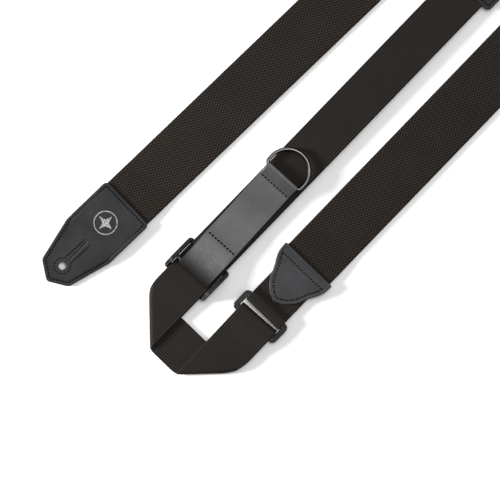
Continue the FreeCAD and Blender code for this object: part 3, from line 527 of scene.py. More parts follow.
# Bonded nylon thread: dull, almost black, with its twist just showing. Each stitch is a short bar
# that dips into the piece at both ends.
black_thread, thread_tree, thread_shader = new_material("bonded black nylon thread")
thread_spot = add(thread_tree, "ShaderNodeTexCoord").outputs["Object"]
thread_twist = add(thread_tree, "ShaderNodeTexWave", {"bands_direction": "DIAGONAL"}, Vector=thread_spot,
                   Scale=900.0).outputs[1]
thread_colour = add(thread_tree, "ShaderNodeMix", {"data_type": "RGBA"}, i0=thread_twist,
                    i6=linear("#020202"), i7=linear("#0b0b0b")).outputs[2]
thread_tree.links.new(thread_colour, thread_shader.inputs["Base Color"])
thread_shader.inputs["Roughness"].default_value = 0.85
thread_shader.inputs["Specular IOR Level"].default_value = 0.08
thread_bump = add(thread_tree, "ShaderNodeBump", Strength=0.5, Distance=0.0002, Height=thread_twist)
thread_tree.links.new(thread_bump.outputs[0], thread_shader.inputs["Normal"])


def stitch_tree():
    """Stitches of one length laid end to end along a line, a step apart."""
    tree = bpy.data.node_groups.new("stitch_row", "GeometryNodeTree")
    tree.interface.new_socket(name="Line", in_out="INPUT", socket_type="NodeSocketGeometry")
    for name in ("Pitch", "Stitch Length", "Thread Radius"):
        tree.interface.new_socket(name=name, in_out="INPUT", socket_type="NodeSocketFloat")
    tree.interface.new_socket(name="Stitches", in_out="OUTPUT", socket_type="NodeSocketGeometry")
    given = add(tree, "NodeGroupInput").outputs
    curve = add(tree, "GeometryNodeMeshToCurve", Mesh=given["Line"]).outputs[0]
    points = add(tree, "GeometryNodeCurveToPoints", {"mode": "LENGTH"}, Curve=curve,
                 Length=given["Pitch"]).outputs
    turn = add(tree, "FunctionNodeAlignRotationToVector", {"axis": "X"},
               Vector=points["Tangent"]).outputs[0]
    bar = add(tree, "GeometryNodeMeshIcoSphere", Radius=1.0, Subdivisions=2).outputs[0]
    half_long = add(tree, "MULTIPLY", i0=given["Stitch Length"], i1=0.5).outputs[0]
    low = add(tree, "MULTIPLY", i0=given["Thread Radius"], i1=0.6).outputs[0]
    size = add(tree, "ShaderNodeCombineXYZ", X=half_long, Y=given["Thread Radius"], Z=low).outputs[0]
    laid = add(tree, "GeometryNodeInstanceOnPoints", Points=points["Points"], Instance=bar,
               Rotation=turn, Scale=size).outputs[0]
    solid = add(tree, "GeometryNodeRealizeInstances", Geometry=laid).outputs[0]
    dyed = add(tree, "GeometryNodeSetMaterial", Geometry=solid, Material=black_thread).outputs[0]
    add(tree, "NodeGroupOutput", Stitches=dyed)
    return tree


stitch_row = stitch_tree()


def baked(piece):
    """Replaces a piece's mesh by what its modifiers make of it, and removes them."""
    seen = piece.evaluated_get(bpy.context.evaluated_depsgraph_get())
    mesh = bpy.data.meshes.new_from_object(seen)
    piece.modifiers.clear()
    piece.data = mesh


def stitched(name, lines, pitch=2.75 * MM, stitch=2.1 * MM, radius=0.65 * MM):
    """Rows of stitches along lines of points; a line that ends where it began is a closed row."""
    vertices, edges = [], []
    for line in lines:
        first = len(vertices)
        vertices += line
        edges += [(first + step, first + step + 1) for step in range(len(line) - 1)]
    mesh = bpy.data.meshes.new(name)
    mesh.from_pydata([tuple(v) for v in vertices], edges, [])
    made = bpy.data.objects.new(name, mesh)
    bpy.context.scene.collection.objects.link(made)
    rows = made.modifiers.new("stitches", "NODES")
    rows.node_group = stitch_row
    values = {"Pitch": pitch, "Stitch Length": stitch, "Thread Radius": radius}
    for item in stitch_row.interface.items_tree:
        if item.in_out == "INPUT" and item.name in values:
            rows[item.identifier] = values[item.name]
    baked(made)
    for polygon in made.data.polygons:
        polygon.use_smooth = True
    return made


tack_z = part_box("webbing_end_stitching")[1].z - 0.2 * MM
tack_lines = [[Vector((slide_low.x - place, adjust_y + 15.5 * MM * (1 - step / 10), tack_z))
               for step in range(21)] for place in (6.5 * MM, 9.5 * MM)]
tack = stitched("webbing_end_thread", tack_lines, pitch=2.4 * MM, stitch=2.0 * MM, radius=0.4 * MM)
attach(tack, "slide")
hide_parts("webbing_end_stitching")


# === Anchor webbing ======================================================================
# A short loop of the same ribbed webbing, closed inside the leather joiner, that holds the
# ring's upper bar.

anchor_y = middle("anchor_webbing").y
anchor_start = cotton_end_x - 0.1 * MM
upper_eye_x = ring_middle.x + eye_inset
anchor_lay = Lay((anchor_start, anchor_y), math.pi)
anchor_run = anchor_start - upper_eye_x
joiner_tip = anchor_start - joiner_low.x
anchor_stops = [(0, held_z + ply / 2), (joiner_tip - 2 * MM, held_z + ply / 2),
                (anchor_run - 4 * MM, open_z)]
anchor_lay.fold((upper_eye_x - eye_turn, anchor_y), 0.0, eye_radius, False)
anchor_stops += [(anchor_lay.at(eye_turn + 4 * MM), open_z),
                 (anchor_lay.at(eye_turn + anchor_run - joiner_tip + 2 * MM),
                  held_z - ply / 2 + 2 * eye_radius)]
anchor_length = anchor_lay.at(eye_turn + anchor_run)
anchor = webbing("anchor_webbing_cloth", anchor_lay, narrow, spaced(anchor_length, 0.8 * MM),
                 ply - 0.14 * MM, through(anchor_stops), ribbed, 68, black_polypropylene)
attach(anchor, "strap")
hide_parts("anchor_webbing")


# === Leather end pieces ===================================================================
# Two layers of smooth black leather with the webbing between them, cut to a blunt point. A slit
# runs up from the button hole, and lockstitch in black thread holds the edge and the slit.

def leather_material(name, base, lit, rough, grain, shine, bend=None):
    """Finished leather: pebble grain, soft mottling, and black paint on the cut edges. bend, on a strip
    with a flat map, is where it is bent: painted shade there, the colour darker and the shine lower
    towards it."""
    made, tree, shader = new_material(name)
    coordinates = add(tree, "ShaderNodeTexCoord").outputs
    spot = coordinates["Object"]
    cells = add(tree, "ShaderNodeTexVoronoi", {"feature": "SMOOTH_F1"}, Vector=spot, Scale=grain,
                Smoothness=0.6).outputs[0]
    crease = add(tree, "ShaderNodeTexNoise", Vector=spot, Scale=grain * 0.35, Detail=5.0,
                 Roughness=0.6).outputs[0]
    cloud = add(tree, "ShaderNodeTexNoise", Vector=spot, Scale=45.0, Detail=3.0).outputs[0]
    mottled = add(tree, "ShaderNodeMapRange", Value=cloud, From_Min=0.35, From_Max=0.68).outputs[0]
    colour = add(tree, "ShaderNodeMix", {"data_type": "RGBA"}, i0=mottled, i6=linear(base),
                 i7=linear(lit)).outputs[2]
    pores = add(tree, "ShaderNodeMapRange", Value=cells, From_Min=0.0, From_Max=0.75, To_Min=1.12,
                To_Max=0.8).outputs[0]
    colour = add(tree, "ShaderNodeMix", {"data_type": "RGBA", "blend_type": "MULTIPLY"}, i0=0.5,
                 i6=colour, i7=pores).outputs[2]
    facing = add(tree, "ShaderNodeSeparateXYZ", i0=coordinates["Normal"]).outputs[2]
    upright = add(tree, "ABSOLUTE", i0=facing).outputs[0]
    flat = add(tree, "ShaderNodeMapRange", Value=upright, From_Min=0.25, From_Max=0.75).outputs[0]
    colour = add(tree, "ShaderNodeMix", {"data_type": "RGBA"}, i0=flat, i6=linear("#0c0c0c"),
                 i7=colour).outputs[2]
    if bend is None:
        shader.inputs["Specular IOR Level"].default_value = shine
    else:
        strip = add(tree, "ShaderNodeUVMap", {"uv_map": "cloth"}).outputs[0]
        along = add(tree, "ShaderNodeSeparateXYZ", i0=strip).outputs[1]
        away = add(tree, "ABSOLUTE", i0=add(tree, "SUBTRACT", i0=along, i1=bend).outputs[0]).outputs[0]
        # Painted shade: towards the bend the colour goes dark and the shine goes down.
        bend_shade_fade = add(tree, "ShaderNodeMapRange", soft_step, Value=away, From_Min=1 * MM,
                   From_Max=30 * MM, To_Min=0.05, To_Max=1.0).outputs[0]
        colour = add(tree, "ShaderNodeMix", {"data_type": "RGBA"}, i0=bend_shade_fade, i6=linear("#121213"),
                     i7=colour).outputs[2]
        tree.links.new(add(tree, "MULTIPLY", i0=bend_shade_fade, i1=shine).outputs[0],
                       shader.inputs["Specular IOR Level"])
    tree.links.new(colour, shader.inputs["Base Color"])
    gloss = add(tree, "ShaderNodeMapRange", Value=crease, From_Min=0.3, From_Max=0.7,
                To_Min=rough - 0.06, To_Max=rough + 0.08).outputs[0]
    tree.links.new(gloss, shader.inputs["Roughness"])
    relief = add(tree, "MULTIPLY_ADD", i0=cells, i1=-0.8, i2=crease).outputs[0]
    bump = add(tree, "ShaderNodeBump", Strength=0.35, Distance=0.25 * MM, Height=relief)
    tree.links.new(bump.outputs[0], shader.inputs["Normal"])
    return made


# Smooth chrome-tanned side leather with a satin finish; the pebble grain is about 0.8 mm.
end_hide = leather_material("satin black side leather", "#1c1c1d", "#272729", 0.5, 1250.0, 0.22)


def rounded_corners(points, radius, steps=7):
    """A closed outline with each corner turned into an arc."""
    made = []
    count = len(points)
    for index in range(count):
        before, here, after = (Vector(points[(index + step) % count]) for step in (-1, 0, 1))
        inward, outward = (before - here).normalized(), (after - here).normalized()
        half_turn = inward.angle(outward) / 2
        reach_back = min(radius / math.tan(half_turn), (before - here).length * 0.45,
                         (after - here).length * 0.45)
        first, last = here + inward * reach_back, here + outward * reach_back
        for step in range(steps + 1):
            share = step / steps
            made.append(first * (1 - share) ** 2 + here * 2 * share * (1 - share) + last * share ** 2)
    return made


def edge_distance(point, outline):
    """How far inside an outline a point lies."""
    nearest = 1.0
    count = len(outline)
    for index in range(count):
        start, end = outline[index], outline[(index + 1) % count]
        run = end - start
        share = min(max((point - start).dot(run) / max(run.length_squared, 1e-12), 0), 1)
        nearest = min(nearest, (point - start - run * share).length)
    return nearest


def half_width(outline, x):
    """The outline's upper half width at x, for an outline that is wide only once."""
    best = 0.0
    count = len(outline)
    for index in range(count):
        start, end = outline[index], outline[(index + 1) % count]
        if (start.x - x) * (end.x - x) <= 0 and abs(end.x - start.x) > 1e-9:
            best = max(best, start.y + (end.y - start.y) * (x - start.x) / (end.x - start.x))
    return best


def leather_layer(name, outline, thickness, level, turn, base, material, groove=0.0):
    """One leather layer cut to an outline: rounded edges, and a groove where the thread pulls."""
    length = max(point.x for point in outline)
    near = [0.0, 0.08, 0.2, 0.4, 0.7, 1.2, 1.9, 2.5, 2.9, 3.2, 3.5, 3.9, 4.6, 5.6]
    inset = [value * MM for value in near]
    plain, stride = inset[-1], 1.3 * MM
    xs = inset + [plain + stride * step for step in range(1, int((length - 2 * plain) / stride))]
    xs += [length - value for value in reversed(inset)]
    xs = [min(max(x, 0.02 * MM), length - 0.02 * MM) for x in xs]
    across = inset + [value * MM for value in (7, 9, 11.5, 14)]
    most = across[-1]
    spin = Matrix.Rotation(turn, 4, "Z")
    rows = []
    for x in xs:
        w = max(half_width(outline, x), 0.05 * MM)
        fit = min(w / most, 1.0)
        ys = [w - value * fit for value in across]
        if w > most:
            steps = 8
            ys += [(w - most) * (1 - step / steps) for step in range(1, steps)]
            ys.append(0.0)
        ys = ys + [-y for y in reversed(ys[:-1])]
        rows.append([(x, y) for y in ys])
    width_count = max(len(row) for row in rows)
    vertices, faces = [], []
    for row in rows:
        if len(row) < width_count:
            half_count = width_count // 2
            w = row[0][1]
            spread = [w * (1 - step / half_count) for step in range(half_count + 1)]
            row[:] = [(row[0][0], y) for y in spread + [-y for y in reversed(spread[:-1])]]
        for x, y in row:
            inside = edge_distance(Vector((x, y)), outline)
            share = min(inside / (0.45 * thickness), 1.0)
            swell = math.sqrt(max(1 - (1 - share) ** 2, 0)) * thickness / 2
            dent = groove * math.exp(-((inside - 3.2 * MM) / (0.55 * MM)) ** 2)
            for side in (1, -1):
                lift = swell - (dent if side > 0 else 0)
                spot = spin @ Vector((x, y, 0)) + base
                vertices.append(Vector((spot.x, spot.y, level(x) + side * lift)))
    step = 2 * width_count

    def corner(r, c, s):
        return r * step + 2 * c + s

    for r in range(len(rows) - 1):
        for c in range(width_count - 1):
            for s in (0, 1):
                faces.append([corner(r, c, s), corner(r + 1, c, s), corner(r + 1, c + 1, s),
                              corner(r, c + 1, s)])
        for c in (0, width_count - 1):
            faces.append([corner(r, c, 0), corner(r + 1, c, 0), corner(r + 1, c, 1),
                          corner(r, c, 1)])
    for r in (0, len(rows) - 1):
        for c in range(width_count - 1):
            faces.append([corner(r, c, 0), corner(r, c + 1, 0), corner(r, c + 1, 1),
                          corner(r, c, 1)])
    made = new_piece(name, vertices, faces, material)
    tidy_surface(made)
    return made


def tidy_surface(piece):
    """Merges doubled points, drops faces without area and turns every face outwards."""
    work = bmesh.new()
    work.from_mesh(piece.data)
    bmesh.ops.remove_doubles(work, verts=work.verts, dist=2e-6)
    bmesh.ops.dissolve_degenerate(work, edges=work.edges, dist=1e-6)
    bmesh.ops.recalc_face_normals(work, faces=work.faces)
    work.to_mesh(piece.data)
    work.free()


def cut_through(piece, outline):
    """Cuts a hole of an outline straight through a piece."""
    count, deep = len(outline), 30 * MM
    vertices = [(*point[:2], level) for level in (-deep, deep) for point in outline]
    faces = [[i, (i + 1) % count, count + (i + 1) % count, count + i] for i in range(count)]
    faces += [list(range(count))[::-1], list(range(count, 2 * count))]
    punch = new_piece("punch", vertices, faces, piece.data.materials[0], smooth=False)
    tidy_surface(punch)
    cut = piece.modifiers.new("cut", "BOOLEAN")
    cut.operation, cut.object, cut.solver = "DIFFERENCE", punch, "EXACT"
    baked(piece)
    bpy.data.objects.remove(punch)


end_half, end_straight, tip_half, tip_length = 26.7 * MM, 48 * MM, 16.7 * MM, 10.5 * MM
end_outline = rounded_corners([
    (0, -end_half), (end_straight, -end_half), (end_length - tip_length, -tip_half), (end_length, 0),
    (end_length - tip_length, tip_half), (end_straight, end_half), (0, end_half)], 5 * MM)
hole_x, hole_radius, slit_half = end_length - 19 * MM, 3.3 * MM, 0.1 * MM
slit_top = hole_x - 30 * MM


def open_circle(radius, gap_half, turns):
    """Points round the button hole, with a gap towards the slit."""
    opening = math.asin(gap_half / radius)
    sweep = 2 * math.pi - 2 * opening
    arc = [math.pi - opening - sweep * step / turns for step in range(turns + 1)]
    return [Vector((hole_x + radius * math.cos(a), radius * math.sin(a))) for a in arc]


# The button hole and its slit as one outline.
keyhole = open_circle(hole_radius, slit_half, 28) + [Vector((slit_top, -slit_half)),
                                                     Vector((slit_top, slit_half))]


def inset_line(outline, distance):
    """The outline moved inwards, as points evenly enough spaced for a row of stitches."""
    made = []
    count = len(outline)
    for index in range(count):
        before, here, after = outline[index - 1], outline[index], outline[(index + 1) % count]
        run = (after - before).normalized()
        made.append(here + Vector((-run.y, run.x)) * distance)
    clean = [point for point in made if edge_distance(point, outline) > distance * 0.93]
    return clean + [clean[0]]


def end_piece(name, turn, base, back_z, insert):
    """Both layers of an end piece, closed over a webbing as thick as insert, and its stitching."""
    half_thick = leather_thick / 2
    shut_z = back_z + leather_thick + half_thick
    open_over_z = shut_z + insert
    closes = held_length + 0.5 * MM
    face_level = through([(0, open_over_z), (closes - 4 * MM, open_over_z),
                          (closes + 18 * MM, shut_z), (end_length, shut_z)])
    back = leather_layer(f"{name}_back_hide", end_outline, leather_thick,
                         lambda x: back_z + half_thick, turn, base, end_hide)
    face = leather_layer(f"{name}_face_hide", end_outline, leather_thick, face_level, turn, base,
                         end_hide, groove=0.3 * MM)
    spin = Matrix.Rotation(turn, 4, "Z")
    slot_outline = [(spin @ Vector((*point, 0)) + base) for point in keyhole]
    for layer, node in ((back, f"{name}_leather_back"), (face, f"{name}_leather_face")):
        cut_through(layer, slot_outline)
        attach(layer, "strap")
        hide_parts(node)

    def on_face(point):
        spot = spin @ Vector((*point, 0)) + base
        return Vector((spot.x, spot.y, face_level(point[0]) + half_thick - 0.12 * MM))

    row_radius, row_y = 7.0 * MM, 3.4 * MM
    loop = open_circle(row_radius, row_y, 30)
    keyhole_row = [(slit_top + 1 * MM, row_y)] + loop + [(slit_top + 1 * MM, -row_y)]
    edge_row = inset_line(end_outline, 3.2 * MM)
    threads = stitched(f"{name}_thread", [[on_face(point) for point in row]
                                          for row in (edge_row, keyhole_row)])
    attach(threads, "strap")
    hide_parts(f"{name}_stitching")


end_piece("neck", neck_heading, neck_edge, 0.0, cotton_thick)
end_piece("tail", 0.0, Vector((tail_low.x, adjust_y, 0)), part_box("tail_leather_back")[0].z, ply)


# === Foil emblem ==========================================================================
# A plain ring round a four-pointed star, hot-stamped in silver foil on the neck end. The foil
# lies a little unevenly on the grain, so it is bright with small dull flecks.

silver_foil, foil_tree, foil_shader = new_material("hot-stamped silver foil")
foil_spot = add(foil_tree, "ShaderNodeTexCoord").outputs["Object"]
flecks = add(foil_tree, "ShaderNodeTexNoise", Vector=foil_spot, Scale=1600.0, Detail=3.0).outputs[0]
bright = add(foil_tree, "ShaderNodeMapRange", Value=flecks, From_Min=0.42, From_Max=0.6).outputs[0]
foil_colour = add(foil_tree, "ShaderNodeMix", {"data_type": "RGBA"}, i0=bright,
                  i6=linear("#5c5c5f"), i7=linear("#b4b4b6")).outputs[2]
foil_tree.links.new(foil_colour, foil_shader.inputs["Base Color"])
foil_shader.inputs["Metallic"].default_value = 0.55
foil_shader.inputs["Roughness"].default_value = 0.42
foil_bump = add(foil_tree, "ShaderNodeBump", Strength=0.3, Distance=0.0001, Height=flecks)
foil_tree.links.new(foil_bump.outputs[0], foil_shader.inputs["Normal"])
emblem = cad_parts["foil_emblem"]
emblem.data.materials.clear()
emblem.data.materials.append(silver_foil)


# === Leather joiner =======================================================================
# A shield of the same leather in two layers, over the cotton's end and the anchor webbing, with
# one row of stitches all the way round.

joiner_length = joiner_high.x - joiner_low.x
joiner_points = [(0, 27.8), (9, 27.0), (14, 25.2), (21, 21.3), (25, 19.4), (31, 17.0), (35, 14.5),
                 (39, 11.0), (42.2, 7.0)]
scale_to = joiner_length / (45.4 * MM)
shoulder = [(x * MM * scale_to, y * MM) for x, y in joiner_points]
joiner_outline = rounded_corners([(x, -y) for x, y in shoulder] + [(joiner_length, 0)]
                                 + [(x, y) for x, y in reversed(shoulder)], 1.6 * MM, 4)
joiner_base = Vector((joiner_high.x, cotton_line_y, 0))
face_z = (joiner_low.z + joiner_high.z) / 2
# The same hide with more of its top coat rubbed up, so it takes the light a little more.
joiner_hide = leather_material("polished black side leather", "#242426", "#313134", 0.48, 1250.0,
                               0.33)
for label, level, groove in (("back", leather_thick / 2, 0.0), ("face", face_z, 0.3 * MM)):
    shield = leather_layer(f"joiner_{label}_hide", joiner_outline, leather_thick,
                           lambda x, level=level: level, math.pi, joiner_base, joiner_hide,
                           groove=groove)
    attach(shield, "strap")
    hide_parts(f"joiner_leather_{label}")
joiner_row = [Vector((joiner_base.x - point.x, joiner_base.y - point.y, joiner_high.z - 0.12 * MM))
              for point in inset_line(joiner_outline, 3.9 * MM)]
joiner_thread = stitched("joiner_thread", [joiner_row])
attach(joiner_thread, "strap")
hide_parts("joiner_stitching")


# === Shoulder ring and adjuster slide =====================================================
# Both are moulded in black acetal. The ring is plain; the slide has two arched cheeks, a low bar
# for the sewn end, a high bar, and a round raised bar between them for the pull tab.

# Acetal: smooth and close to black, with a greasy shine and lighter where it is scuffed.
black_acetal, acetal_tree, acetal_shader = new_material("moulded black acetal")
acetal_spot = add(acetal_tree, "ShaderNodeTexCoord").outputs["Object"]
flow = add(acetal_tree, "ShaderNodeTexNoise", Vector=acetal_spot, Scale=700.0, Detail=4.0).outputs[0]
scuffs = add(acetal_tree, "ShaderNodeTexNoise", Scale=90.0, Detail=6.0, Roughness=0.7,
             Vector=acetal_spot).outputs[0]
scuffed = add(acetal_tree, "ShaderNodeMapRange", Value=scuffs, From_Min=0.4, From_Max=0.75).outputs[0]
acetal_colour = add(acetal_tree, "ShaderNodeMix", {"data_type": "RGBA"}, i0=scuffed,
                    i6=linear("#111110"), i7=linear("#272523")).outputs[2]
acetal_tree.links.new(acetal_colour, acetal_shader.inputs["Base Color"])
acetal_gloss = add(acetal_tree, "ShaderNodeMapRange", Value=scuffs, To_Min=0.26, To_Max=0.5).outputs[0]
acetal_tree.links.new(acetal_gloss, acetal_shader.inputs["Roughness"])
acetal_shader.inputs["Specular IOR Level"].default_value = 0.32
acetal_bump = add(acetal_tree, "ShaderNodeBump", Strength=0.12, Distance=0.0002, Height=flow)
acetal_tree.links.new(acetal_bump.outputs[0], acetal_shader.inputs["Normal"])


def soft_rectangle(low_x, high_x, low_y, high_y, radii, steps=6):
    """A rectangle with its own radius at each corner, anticlockwise from low x, low y."""
    centres = [(low_x, low_y, 1, 1, 180), (high_x, low_y, -1, 1, 270), (high_x, high_y, -1, -1, 0),
               (low_x, high_y, 1, -1, 90)]
    made = []
    for (x, y, inward_x, inward_y, start), radius in zip(centres, radii):
        for step in range(steps + 1):
            angle = math.radians(start + 90 * step / steps)
            made.append((x + inward_x * radius + radius * math.cos(angle),
                         y + inward_y * radius + radius * math.sin(angle)))
    return made


def ringed(name, rings, closes):
    """A closed surface through rings of equally many points; the last joins the first or is capped."""
    count = len(rings[0])
    vertices = [point for ring in rings for point in ring]
    faces = []
    spans = list(zip(range(len(rings)), list(range(1, len(rings))) + [0]))
    for a, b in spans if closes else spans[:-1]:
        for i in range(count):
            j = (i + 1) % count
            faces.append([a * count + i, a * count + j, b * count + j, b * count + i])
    if not closes:
        faces += [list(range(count))[::-1], list(range(len(vertices) - count, len(vertices)))]
    made = new_piece(name, vertices, faces, black_acetal)
    tidy_surface(made)
    return made


def joined(name, parts):
    """Several closed shells as one piece."""
    work = bmesh.new()
    for part in parts:
        work.from_mesh(part.data)
    mesh = bpy.data.meshes.new(name)
    work.to_mesh(mesh)
    work.free()
    mesh.materials.append(parts[0].data.materials[0])
    for polygon in mesh.polygons:
        polygon.use_smooth = True
    made = bpy.data.objects.new(name, mesh)
    bpy.context.scene.collection.objects.link(made)
    for part in parts:
        bpy.data.objects.remove(part)
    return made


def lerp(low, high, share):
    """The value a share of the way from low to high."""
    return low + (high - low) * share


# The ring: from the outer edge over a crowned top to the window, and back underneath.
bar_width, side_width, corner_round = 6 * MM, 4.8 * MM, 4.5 * MM
profile = [(0.0, 0.5), (0.015, 0.68), (0.05, 0.84), (0.11, 0.93), (0.2, 0.98), (0.28, 1.0),
           (0.36, 0.94), (0.44, 0.9), (0.56, 0.9), (0.64, 0.94), (0.72, 1.0), (0.8, 0.98),
           (0.89, 0.93), (0.95, 0.84), (0.985, 0.68), (1.0, 0.5), (0.985, 0.2), (0.93, 0.04),
           (0.85, 0.0), (0.15, 0.0), (0.07, 0.04), (0.015, 0.2)]
rings = []
for share, level in profile:
    outline = soft_rectangle(ring_low.x + bar_width * share, ring_high.x - bar_width * share,
                             ring_low.y + side_width * share, ring_high.y - side_width * share,
                             [lerp(corner_round, 1.0 * MM, share)] * 4)
    rings.append([(x, y, lerp(ring_low.z, ring_high.z, level)) for x, y in outline])
ring = ringed("shoulder_ring_moulding", rings, True)
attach(ring, "shoulder_ring")
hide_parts("shoulder_ring")

# The slide: each cheek is an arched rail with a ridge along it, the bars run between them.
cheek, end_height, arch = 3.8 * MM, 5.6 * MM, 9 * MM
centre_bar_radius = 1.4 * MM
centre_bar = Vector((slide_low.x + 14 * MM, 0, slide_high.z - 2.0 * MM))
arch_top = through([(slide_low.x, end_height), (centre_bar.x - arch / 2, slide_high.z),
                    (centre_bar.x + arch / 2, slide_high.z), (slide_high.x, end_height)])
# Up the outside of a cheek and over its ridge: how far in, how far up from the base or from the
# arched top, in millimetres, and whether the base is meant.
cheek_profile = ((0.9, 0, True), (0.35, 0.2, True), (0.0, 0.8, True), (0.0, -1.6, False),
                 (0.12, -0.95, False), (0.4, -0.5, False), (0.8, -0.12, False), (1.1, 0.0, False),
                 (1.3, -0.1, False), (1.5, -0.4, False), (1.75, -0.45, False))
parts = []
for sign in (-1, 1):
    outer_y = slide_high.y if sign > 0 else slide_low.y
    rings = []
    for inset, drop, base in cheek_profile:
        inset *= MM
        y_edges = sorted((outer_y - sign * inset, outer_y - sign * (cheek - inset)))
        outer_round, inner_round = max(4.2 * MM - inset, 0.1 * MM), max(1.0 * MM - inset, 0.03 * MM)
        fit = min(1.0, (y_edges[1] - y_edges[0]) / (outer_round + inner_round))
        radii = [inner_round * fit, inner_round * fit, outer_round * fit, outer_round * fit]
        outline = soft_rectangle(slide_low.x + inset, slide_high.x - inset, *y_edges,
                                 radii if sign > 0 else radii[::-1])
        fine = []
        for start, end in zip(outline, outline[1:] + outline[:1]):
            pieces = 16 if abs(end[0] - start[0]) > 10 * MM else 1
            fine += [(lerp(start[0], end[0], k / pieces), lerp(start[1], end[1], k / pieces))
                     for k in range(pieces)]
        rings.append([(x, y, (slide_low.z if base else arch_top(x)) + drop * MM) for x, y in fine])
    parts.append(ringed("cheek", rings, False))


bar_low, bar_high = slide_low.y + cheek / 2, slide_high.y - cheek / 2
low_bar_z, low_bar_thick, high_bar_thick, high_bar_long = 1.4 * MM, 1.8 * MM, 2.2 * MM, 4.4 * MM
high_bar_top = running_z - ply / 2 - 0.3 * MM
for name, low_x, high_x, low_z, high_z, radius in (
        ("low_bar", slide_low.x, end_turn_x, low_bar_z, low_bar_z + low_bar_thick, 0.8 * MM),
        ("high_bar", slide_high.x - high_bar_long, slide_high.x, high_bar_top - high_bar_thick,
         high_bar_top, 0.9 * MM),
        ("centre_bar", centre_bar.x - centre_bar_radius, centre_bar.x + centre_bar_radius,
         centre_bar.z - centre_bar_radius, centre_bar.z + centre_bar_radius,
         centre_bar_radius * 0.99)):
    section = soft_rectangle(low_x, high_x, low_z, high_z, [radius] * 4)
    parts.append(ringed(name, [[(x, y, z) for x, z in section] for y in (bar_low, bar_high)], False))
slide = joined("adjuster_slide_moulding", parts)
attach(slide, "slide")
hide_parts("adjuster_slide")


# === Pull tab =============================================================================
# One strip of smoother, slightly glossier leather. Its ends are folded back round the slide's
# centre bar and round the D-ring, and each is sewn down with one row across.

tab_width, tab_thick = 33.6 * MM, 1.2 * MM
tab_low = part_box("pull_tab")[0]
tab_turn = math.radians(1.65)
tab_way = Vector((math.cos(tab_turn), math.sin(tab_turn), 0))
hinge = Vector((centre_bar.x, adjust_y - 0.9 * MM, centre_bar.z))
wrap_bend = centre_bar.z - tab_low.z - tab_thick / 2
tab_reach = 112 * MM
curl_bend = 2.35 * MM
low_seam, high_seam, seam_margin = 34 * MM, 102 * MM, 5 * MM
tab_level = tab_low.z + tab_thick / 2
tab_upper = tab_level + tab_thick + 0.02 * MM
tab_start = hinge + tab_way * (low_seam + seam_margin)
tab_lay = Lay(tab_start[:2], math.pi + tab_turn)
rise, back_turn = 2 * wrap_bend, math.pi * wrap_bend / 2
tab_lay.fold((hinge - tab_way * back_turn)[:2], tab_turn, wrap_bend, True)
# How far past the bar each stop is, and the level there: down onto the seam's second layer, off
# it, along, and up again onto the other seam and over the D-ring.
tab_stops = [(0, tab_level)] + [(tab_lay.at(back_turn + past), level) for past, level in (
    (6 * MM, tab_level), (low_seam - 4 * MM, tab_upper - rise),
    (low_seam + seam_margin + 3 * MM, tab_upper - rise),
    (low_seam + seam_margin + 24 * MM, tab_level - rise),
    (high_seam - seam_margin - 22 * MM, tab_level - rise),
    (high_seam - seam_margin - 2 * MM, tab_upper - rise),
    (high_seam + 2 * MM, tab_upper - rise),
    (tab_reach - 3 * MM, tab_level + 2 * curl_bend - rise))]
tab_end = hinge + tab_way * (tab_reach + math.pi * curl_bend / 2)
tab_lay.fold(tab_end[:2], math.pi + tab_turn, curl_bend, False)
tab_length = tab_lay.at(math.pi * curl_bend / 2 + tab_reach - high_seam + seam_margin)
tab_stops.append((tab_length, tab_level + 2 * curl_bend - rise))


def eased(stops, reach):
    """Straight slopes between (distance, value) stops, each corner eased over a reach to both sides."""
    def straight(at):
        for (low, first), (high, last) in zip(stops, stops[1:]):
            if at <= high:
                return first + (last - first) * min(max((at - low) / (high - low), 0), 1)
        return stops[-1][1]
    return lambda at: sum(straight(at + reach * (step / 6 - 1)) for step in range(13)) / 13


def creased_edge(across, along):
    """A shallow creased line just inside each edge."""
    inside = tab_width / 2 - abs(across)
    return -0.1 * MM * math.exp(-((inside - 1.8 * MM) / (0.4 * MM)) ** 2)


# Waxed strap leather: finer grain and a broader, softer highlight than the end pieces. Over the 30 mm to
# each side of the bar it bends round, its colour is darkened and its shine lowered as painted shade.
tab_hide = leather_material("waxed black strap leather", "#2f2f30", "#3b3b3c", 0.38, 1500.0, 0.72,
                            bend=low_seam + seam_margin)
tab = webbing("pull_tab_hide", tab_lay, tab_width, spaced(tab_length, 0.9 * MM), tab_thick - 0.02 * MM,
              eased(tab_stops, 4 * MM), creased_edge, 64, tab_hide)
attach(tab, "tab")
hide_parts("pull_tab")
side_way = Vector((-tab_way.y, tab_way.x, 0))
for name, seam in (("tab_slide", low_seam), ("tab_ring", high_seam)):
    first, last = (hinge + tab_way * seam + side_way * (sign * 13.5 * MM) for sign in (-1, 1))
    line = [Vector((*first.lerp(last, step / 20)[:2], tab_upper + tab_thick / 2 - 0.1 * MM))
            for step in range(21)]
    seam_thread = stitched(f"{name}_thread", [line], pitch=3.1 * MM, stitch=2.6 * MM, radius=0.95 * MM)
    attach(seam_thread, "tab")
    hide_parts(f"{name}_stitching")
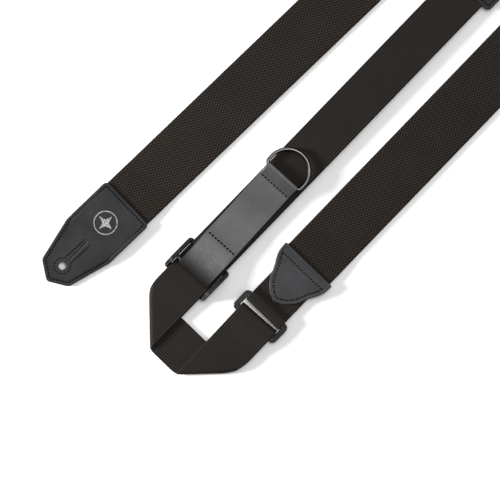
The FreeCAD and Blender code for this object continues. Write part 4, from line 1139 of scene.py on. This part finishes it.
# === D-ring ===============================================================================
# Bent and welded 3.2 mm steel wire in glossy black nickel. Its straight side lies inside the
# tab's upper fold, and the bow rests on the webbing.

# Black nickel: a dark mirror, with a painted highlight along the top of the wire.
black_nickel, nickel_tree, nickel_shader = new_material("glossy black nickel on steel")
nickel_seen = add(nickel_tree, "ShaderNodeTexCoord").outputs
rub = add(nickel_tree, "ShaderNodeTexNoise", Vector=nickel_seen["Object"], Scale=260.0, Detail=5.0,
          Roughness=0.65).outputs[0]
wire_up = add(nickel_tree, "ShaderNodeSeparateXYZ", i0=nickel_seen["Normal"]).outputs[2]
# Painted highlight: the wire's colour turns light grey where its surface faces up.
crest_highlight = add(nickel_tree, "ShaderNodeMapRange", soft_step, Value=wire_up, From_Min=0.84,
            From_Max=0.99).outputs[0]
nickel_colour = add(nickel_tree, "ShaderNodeMix", {"data_type": "RGBA"}, i0=crest_highlight, i6=linear("#232323"),
                    i7=linear("#7c7b7a")).outputs[2]
nickel_tree.links.new(nickel_colour, nickel_shader.inputs["Base Color"])
nickel_gloss = add(nickel_tree, "ShaderNodeMapRange", Value=rub, To_Min=0.27, To_Max=0.36).outputs[0]
nickel_tree.links.new(nickel_gloss, nickel_shader.inputs["Roughness"])
nickel_shader.inputs["Metallic"].default_value = 1.0
nickel_bump = add(nickel_tree, "ShaderNodeBump", Strength=0.02, Distance=0.0002, Height=rub)
nickel_tree.links.new(nickel_bump.outputs[0], nickel_shader.inputs["Normal"])

wire, bend_round = 1.6 * MM, 4.0 * MM
d_low, d_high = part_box("d_ring")
d_level = (d_low.z + d_high.z) / 2
seat = hinge + tab_way * tab_reach
bow, leg = 37.8 * MM / 2, 6.9 * MM
bend_turns = [math.pi / 2 * step / 8 for step in range(8, -1, -1)]
bow_turns = [math.pi * step / 48 for step in range(49)]
bend = [(bend_round * (1 - math.sin(a)), -bow + bend_round * (1 - math.cos(a))) for a in bend_turns]
path = bend + [(leg + bow * math.sin(a), -bow * math.cos(a)) for a in bow_turns]
path += [(x, -y) for x, y in reversed(bend)]
round_turns = [2 * math.pi * step / 20 for step in range(20)]
tube = []
for index, (x, y) in enumerate(path):
    before, after = path[index - 1], path[(index + 1) % len(path)]
    run = Vector((after[0] - before[0], after[1] - before[1])).normalized()
    middle_point = seat + tab_way * x + side_way * y
    outward = tab_way * run.y - side_way * run.x
    tube.append([Vector((middle_point.x, middle_point.y, d_level + wire * math.sin(a)))
                 + outward * (wire * math.cos(a)) for a in round_turns])
d_ring = ringed("d_ring_wire", tube, True)
d_ring.data.materials.clear()
d_ring.data.materials.append(black_nickel)
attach(d_ring, "d_ring")
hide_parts("d_ring")
